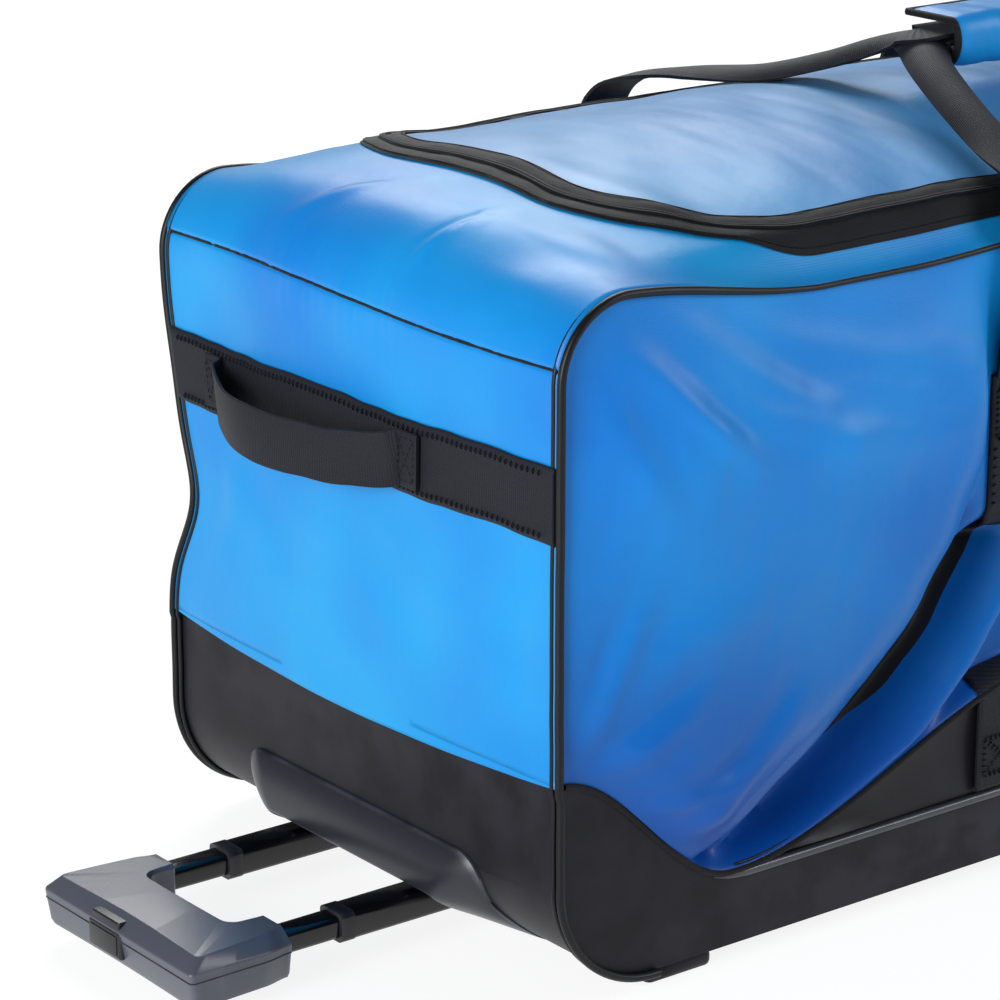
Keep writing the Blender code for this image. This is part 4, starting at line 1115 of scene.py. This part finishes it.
hardNodes = {
    "base_tub": ("baseTub", "moulded_black", tubPlastic, 0.0016),
    "tube_end_bracket": ("tubeEndBracket", "moulded_black", darkPlastic, 0.0010),
    "floor_board": ("floorBoard", "board", boardFinish, 0.0006),
}
for side in ("near", "far"):
    hardNodes[side + "_wheel_housing"] = (side + "WheelHousing", "moulded_black", tubPlastic, 0.0010)
    hardNodes[side + "_axle"] = (side + "Axle", "steel", steel, 0.0004)
    hardNodes[side + "_corner_foot"] = (side + "CornerFoot", "moulded_black", tubPlastic, 0.0)
    for stage in ("outer", "mid", "inner"):
        hardNodes[f"{side}_{stage}_tube"] = (f"{side}{stage.title()}Tube", "tube_black", anodised, 0.0)
for place in ("near", "middle", "far"):
    hardNodes[place + "_runner"] = (place + "Runner", "moulded_black", darkPlastic, 0.0030)
for node, (name, slotName, finish, bevel) in hardNodes.items():
    refined(node, name, bodyOf(node), finish, bevel)
print("hard parts refined")


# The hood over the tubes follows the base's rounded corner.
hood = {"half": 0.121, "top": 0.0745, "corner": 0.018, "slotHalf": 0.091, "slotTop": 0.0425, "slotCorner": 0.010,
        "foot": 0.0160, "edge": 0.0015, "proud": 0.0205, "flare": 0.020}


# x of the base's rounded corner at a height.
def cornerFace(z):
    r = bag["lowRadius"]
    below = np.clip(tubLow + r - z, 0, r * 0.995)
    return -halfLength + r - np.sqrt(r * r - below * below)


# Half of an outline of the hood, from the foot of a leg to the middle of the top, as rows of y and z.
def hoodLine(half, top, corner):
    turn = np.linspace(0, math.pi / 2, 12)
    leg = np.linspace(hood["foot"], top - corner, 22)[:-1]
    bend = half - corner + corner * np.cos(turn)
    y = np.concatenate([np.full(21, half), bend, np.linspace(half - corner, 0, 26)[1:]])
    z = np.concatenate([leg, top - corner + corner * np.sin(turn), np.full(25, top)])
    return np.stack([y, z], 1)


# The face between the outer and the slot's outline, standing off the corner by a power of the way across,
# and turned in at the slot. The bezel's own solid stays behind it.
def makeHood():
    outer = hoodLine(hood["half"], hood["top"], hood["corner"])
    inner = hoodLine(hood["slotHalf"], hood["slotTop"], hood["slotCorner"])
    outer[:, 0] += hood["flare"] * smooth((0.046 - outer[:, 1]) / 0.030)
    inner[:, 0] += 0.3 * hood["flare"] * smooth((0.036 - inner[:, 1]) / 0.022)
    v = np.concatenate([[0], np.linspace(0, 1, 18)])[None, :, None]
    yz = outer[:, None] + (inner - outer)[:, None] * v
    v = v[..., 0]
    strength = 0.42 + 0.58 * smooth((yz[..., 1] - 0.018) / 0.024)
    proud = hood["edge"] + hood["proud"] * v**0.85 * strength
    proud[:, 0] = -0.002
    x = cornerFace(yz[..., 1]) - proud
    # the inner edge rounds over into the slot
    back = np.stack([x[:, -1:] + step for step in (0.0004, 0.0022, 0.0340)], 1)[..., 0]
    turnIn = np.stack([yz[:, -1] + (inner - outer) / 0.03 * move for move in (0.0005, 0.0007, 0.0007)], 1)
    face, rim = np.concatenate([x[..., None], yz], -1), np.concatenate([back[..., None], turnIn], -1)
    grid = np.concatenate([face, rim], 1)
    whole = np.concatenate([grid, grid[-2::-1] * np.array([1, -1, 1])])
    makePiece("handleHood", [(whole, None, 0)], "bag", (bezelPlastic,), (-0.44, 0, 0.02),
              ("handle_bezel",), 50)
    behind = refined("handle_bezel", "handleBezel", "bag", bezelPlastic, 0.0).data
    for vertex in behind.vertices:
        vertex.co.x = max(vertex.co.x, float(cornerFace(vertex.co.z)) + 0.004)
    behind.update()


lip = {"section": (0.0042, 0.0052, 0.0018, 3), "fromHandle": 0.116, "fromWheels": 0.285, "below": 0.0030}


# The moulded lip along the low part of each rim, thinned out at its ends, in a lighter plastic that paints a
# highlight along it.
def makeLips():
    x = np.linspace(-halfLength + lip["fromHandle"], halfLength - lip["fromWheels"], 260)
    slim = 0.15 + 0.85 * smooth((x - x[0]) / 0.03) * smooth((x[-1] - x) / 0.03)
    for sign, name in bothSides:
        path = np.stack([x, np.full_like(x, sign * (halfWidth + 0.0008)), rimHeight(x) - lip["below"]], 1)
        patch = (*sweep(path, alongY, roundedBox(*lip["section"]), scale=slim), 0)
        makePiece(name + "RimLip", [patch], "bag", (lipPlasticPaintedHighlight,))


grip = {
    "thick": 0.026,
    "arm": 0.030,
    "outerRound": 0.0032,
    "fillet": 0.010,
    "outset": 0.0115,
    "widen": 0.0050,
    "below": 0.0065,
    "badgeY": 0.012,
    "badge": (0.0050, 0.036, 0.0180),
    "plate": (0.0010, 0.029, 0.0120),
    "notch": (0.0080, 0.030, 0.0050),
    "collar": (0.0228, 0.0188, 0.0034),
}


# The grip is a section carried round a U, between its outer and inner outlines.
def makeGrip():
    low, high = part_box("grip_lower_shell")
    x0, x1 = low.x - grip["outset"], high.x
    half = high.y + grip["widen"]
    zMid = high.z
    inner = high.y - grip["arm"]
    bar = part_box("release_button")[1].x - 0.003
    r, f = grip["outerRound"], grip["fillet"]
    count = 30
    turn = np.linspace(0, math.pi / 2, 12)
    # near half of both outlines, from the arm's end to the middle of the bar
    armX = np.linspace(x1, x0 + r, count)
    outer = np.stack([armX, np.full(count, -half) + 0.003 * smooth((armX - x1 + 0.02) / 0.02)], 1)
    outer = np.concatenate([
        outer,
        np.stack([x0 + r - r * np.sin(turn), -half + r - r * np.cos(turn)], 1)[1:],
        np.stack([np.full(count, x0), np.linspace(-half + r, 0, count)], 1)[1:],
    ])
    armX = np.linspace(x1, bar + f, count)
    innerLine = np.concatenate([
        np.stack([armX, np.full(count, -inner)], 1),
        np.stack([bar + f - f * np.sin(turn), -inner + f - f * np.cos(turn)], 1)[1:],
        np.stack([np.full(count, bar), np.linspace(-inner + f, 0, count)], 1)[1:],
    ])
    outer = np.concatenate([outer, outer[-2::-1] * np.array([1, -1])])
    innerLine = np.concatenate([innerLine, innerLine[-2::-1] * np.array([1, -1])])
    gapXY = innerLine - outer
    width = np.linalg.norm(gapXY, axis=1, keepdims=True)
    way = gapXY / width
    # section: (distance in from the outer face, height), slanted outer face with a chamfer
    h = grip["thick"] / 2
    foot = -h - grip["below"]
    front = [(0.0050, foot + 0.0016), (0.0030, foot + 0.0050), (0.0, 0.0046), (0.0006, 0.0058),
             (0.0098, h - 0.0006), (0.0110, h)]
    back = [(0.0022, h), (0.0, h - 0.0022), (0.0, -h + 0.0022), (0.0030, foot)]
    rows = [(outer + way * a, z) for a, z in front] + [(innerLine - way * a, z) for a, z in back]
    rows += [(outer + way * 0.0100, foot), rows[0]]
    grid = np.stack([np.concatenate([xy, np.full((len(xy), 1), zMid + z)], 1) for xy, z in rows], 1)
    shells = ("grip_lower_shell", "grip_upper_shell")
    piece = makePiece("gripShell", [(closedEnds(grid), None, 0)], "handle_upper", (greyPlastic,),
                      None, shells, 28)
    addModifier(piece, "BEVEL", width=0.0006, segments=2, limit_method="ANGLE", angle_limit=math.radians(24))
    # parting line of the two halves, a plain badge plate let into the outer face, and the button
    path = np.concatenate([outer + way * 0.0007, np.full((len(outer), 1), zMid - 0.0005)], 1)
    makePiece("gripPartingLine", [(*sweep(path, alongZ, circle(0.00045, 6)), 0)],
              "handle_upper", (darkPlastic,))
    for name, out, z, size, radius, finish in (
        ("gripBadge", 0.0020, -0.004, grip["badge"], 0.0022, darkPlastic),
        ("gripBadgePlate", -0.0006, -0.004, grip["plate"], 0.0004, anodised),
        ("gripNotch", 0.0046, 0.0078, grip["notch"], 0.0012, darkPlastic),
    ):
        centre = (x0 + out, grip["badgeY"], zMid + z)
        makeBlock(name, centre, size, radius, "handle_upper", finish)
    low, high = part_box("release_button")
    makeBlock("releaseButton", (low + high) / 2, high - low, 0.0022, "button", darkPlastic,
              ("release_button",))
    for _, name in bothSides:
        low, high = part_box(name + "_inner_tube")
        y, z = (low.y + high.y) / 2, (low.z + high.z) / 2
        start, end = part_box(name + "_tube_collar")
        path = np.stack([np.linspace(start.x, end.x, 5), np.full(5, y), np.full(5, z)], 1)
        node = name + "_tube_collar"
        patch = (*sweep(path, alongY, roundedBox(*grip["collar"])), 0)
        makePiece(name + "TubeCollar", [patch], bodyOf(node), (darkPlastic,), None, (node,))


# A block with rounded edges: rings of four quarter circles, drawn in and lifted by a quarter turn at both ends.
def makeBlock(name, centre, size, radius, body, finish, replaced=()):
    half = np.array(size) / 2
    r = min(radius, *(half * 0.98))
    corner = np.linspace(0, math.pi / 2, 6)
    ring, level = [], []
    for k, (sx, sy) in enumerate(((1, 1), (-1, 1), (-1, -1), (1, -1))):
        angle = corner + k * math.pi / 2
        ring.append(np.stack([np.full(6, sx), np.full(6, sy), np.cos(angle), np.sin(angle)], 1))
    ring = np.concatenate(ring + [ring[0][:1]])
    for sz, start in ((-1, -math.pi / 2), (1, 0)):
        angle = start + corner
        level.append(np.stack([np.full(6, sz), np.cos(angle), np.sin(angle)], 1))
    level = np.concatenate(level)
    x = ring[None, :, 0] * (half[0] - r) + r * ring[None, :, 2] * level[:, None, 1]
    y = ring[None, :, 1] * (half[1] - r) + r * ring[None, :, 3] * level[:, None, 1]
    z = np.broadcast_to(level[:, None, 0] * (half[2] - r) + r * level[:, None, 2], x.shape)
    grid = closedEnds(np.stack([x, y, z], -1) + np.array(centre))
    return makePiece(name, [(grid, None, 0)], body, (finish,), None, replaced)


wheel = {
    "crown": 0.0030,
    "shoulder": 0.0060,
    "grooves": (-0.007, 0.0, 0.007),
    "grooveDepth": 0.0016,
    "grooveWidth": 0.0009,
    "hub": (0.0056, 0.0300),
    "dish": 0.0070,
    "ribs": 6,
    "ribReach": (0.0085, 0.0255),
    "ribSection": (0.0062, 0.0030, 0.0008, 2),
}


# Each wheel's tyre and hub: profiles turned about the axle, with ribs laid on both faces of the hub.
def makeWheels():
    for _, name in bothSides:
        low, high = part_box(name + "_tyre")
        centre = np.array((low + high) / 2)
        half, radius = (high.y - low.y) / 2, (high.x - low.x) / 2
        # tyre: rounded shoulders and three grooves round the tread
        y = np.linspace(-half, half, 61)
        shoulder = wheel["shoulder"] * smooth((np.abs(y) - half + wheel["shoulder"]) / wheel["shoulder"]) ** 2
        grooves = sum(wheel["grooveDepth"] * bell(y - at, wheel["grooveWidth"]) for at in wheel["grooves"])
        outer = np.stack([radius - wheel["crown"] * (np.abs(y) / half) ** 2 - shoulder - grooves, y], 1)
        inner = np.array([[0.0305, half], [0.0303, half - 0.004], [0.0303, -half + 0.004], [0.0305, -half]])
        profile = np.concatenate([outer, inner, outer[:1]])
        makePiece(name + "Tyre", [(*lathe(profile, centre), 0)], name + "_wheel", (rubber,), None,
                  (name + "_tyre",))
        # hub: a dished web with a raised rim and boss, and six ribs
        r = np.linspace(*wheel["hub"], 40)
        face = half - wheel["dish"] * smooth((r - 0.0095) / 0.003) * (1 - smooth((r - 0.0235) / 0.003))
        rim = np.stack([r, face], 1)
        profile = np.concatenate([rim, rim[::-1] * np.array([1, -1]), rim[:1]])
        patches = [(*lathe(profile, centre), 0)]
        reach = np.linspace(*wheel["ribReach"], 6)
        for angle in np.arange(wheel["ribs"]) * 2 * math.pi / wheel["ribs"]:
            for face in (-1, 1):
                y = np.full(6, centre[1] + face * (half - 0.0042))
                path = np.stack([centre[0] + reach * math.cos(angle), y, centre[2] + reach * math.sin(angle)], 1)
                patches.append((*sweep(path, alongY, roundedBox(*wheel["ribSection"])), 0))
        makePiece(name + "WheelHub", patches, name + "_wheel", (greyPlastic,), None,
                  (name + "_wheel_hub",))


slider = {
    "block": (0.0165, 0.0098, 0.0066),
    "bridgeHalf": 0.0045,
    "bridgeRise": 0.0026,
    "bridge": (0.0030, 0.0012, 0.0005, 2),
    "puller": (0.0078, 0.0022),
    "end": (0.0090, 0.0092, 0.0040),
}


# Zip sliders, each a block with an arched bridge, and webbing pullers with moulded ends.
def makeSliders():
    for name in ("front", "rear"):
        low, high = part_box(name + "_zip_slider")
        middle = (low + high) / 2
        makeBlock(name + "ZipSlider", middle, slider["block"], 0.0024, name + "_slider", steel,
                  (name + "_zip_slider",))
        x = np.linspace(-slider["bridgeHalf"], slider["bridgeHalf"], 20)
        rise = slider["bridgeRise"] * np.sqrt(np.maximum(1 - (x / (slider["bridgeHalf"] + 0.0001)) ** 2, 0))
        path = np.stack([middle.x + x, np.full(20, middle.y), middle.z + 0.0030 + rise], 1)
        patch = (*sweep(path, alongY, roundedBox(*slider["bridge"])), 0)
        makePiece(name + "SliderBridge", [patch], name + "_slider", (steel,))
        low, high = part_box(name + "_zip_puller")
        centre = (low + high) / 2
        path = np.stack([np.linspace(low.x, high.x, 40), np.full(40, centre.y), np.full(40, centre.z)], 1)
        patch = (*ribbon(path, np.array([[0.0, 1.0, 0.28]]), *slider["puller"]), 0)
        makePiece(name + "ZipPuller", [patch], name + "_puller", (webbing,), None,
                  (name + "_zip_puller",))
        end = centre.x + (-0.017 if centre.x < middle.x else 0.017)
        makeBlock(name + "PullerEnd", (end, centre.y, centre.z), slider["end"], 0.0018, name + "_puller",
                  darkPlastic)


makeSkin()
makeBrowSeams()
lidPieces = [makeLid()]
for sideSign, sideName in bothSides:
    makeSide(sideName, sideSign)
    makeFoldShadeStrip(sideName, sideSign)
    makePiping(sideName, sideSign)
print("skin, sides and piping made")
lidPieces.append(makeZip()[1])
for piece in lidPieces:
    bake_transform(piece)
makeEndBand("handleEnd", False)
makeEndBand("wheelEnd", True)
makeSideWebs()
makeStrap("nearStrap", -1, strap["height"], "near_carry_strap")
makeStrap("farStrap", 1, strap["height"] + 0.006, "far_carry_strap")
makeWrap()
print("zip, webbing and straps made")
makeHood()
makeLips()
makeGrip()
makeWheels()
makeSliders()
print("grip, wheels and sliders made")


stage = {
    "reach": 60.0,
    "drop": 0.0004,
    "floor": linear(118, 119, 121),
    "floorGlow": 0.86,
    "sky": (0.90, 0.95, 1.0, 1),
    "skyStrength": 0.20,
    "lens": 135.54,
    "sensor": 36,
    "cameraAt": (-1.7407, -1.7609, 0.9426),
    "cameraTilt": 72.56,
    "cameraTurn": -37.492,
    # place, what it points at, size, power and tint
    "key": ((-3.9, -0.9, 1.2), (-0.2, 0, 0.25), 2.2, 165, (1.0, 0.99, 0.97)),
    "top": ((1.1, 2.3, 2.5), (0.0, 0, 0.4), 2.0, 82, (1.0, 1.0, 1.0)),
    "fill": ((2.5, -2.7, 2.2), (0.0, 0, 0.3), 1.8, 84, (0.97, 0.98, 1.0)),
}


def makeFloor():
    mesh = bpy.data.meshes.new("floor")
    r = stage["reach"]
    mesh.from_pydata([(-r, -r, 0), (r, -r, 0), (r, r, 0), (-r, r, 0)], [], [(0, 1, 2, 3)])
    floor = addToScene("floor", mesh)
    floor.location.z = -stage["drop"]
    sockets = {"Specular_IOR_Level": 0.0, "Emission_Strength": stage["floorGlow"], "Emission_Color": (1, 1, 1, 1)}
    mesh.materials.append(Finish("paleFloor", stage["floor"], 0.8, **sockets).material)


# A round area light, turned from its place towards what it points at.
def makeLight(name):
    place, aim, size, power, tint = stage[name]
    data = bpy.data.lights.new(name, "AREA")
    data.shape = "DISK"
    data.size, data.energy, data.color = size, power, tint
    light = addToScene(name, data)
    light.location = place
    way = np.array(aim) - np.array(place)
    yaw = math.atan2(way[1], way[0]) - math.pi / 2
    light.rotation_euler = (math.atan2(math.hypot(way[0], way[1]), -way[2]), 0, yaw)


def makeWorld():
    world = bpy.data.worlds.new("studio")
    bpy.context.scene.world = world
    world.use_nodes = True
    sky = world.node_tree.nodes["Background"].inputs
    sky["Color"].default_value = stage["sky"]
    sky["Strength"].default_value = stage["skyStrength"]


def makeCamera():
    data = bpy.data.cameras.new("camera")
    data.sensor_width, data.lens = stage["sensor"], stage["lens"]
    camera = addToScene("camera", data)
    camera.location = stage["cameraAt"]
    camera.rotation_euler = (math.radians(stage["cameraTilt"]), 0, math.radians(stage["cameraTurn"]))
    bpy.context.scene.camera = camera


makeFloor()
makeWorld()
for lightName in ("key", "top", "fill"):
    makeLight(lightName)
makeCamera()
bpy.context.scene.view_settings.view_transform = "Standard"
print("stage and camera made")
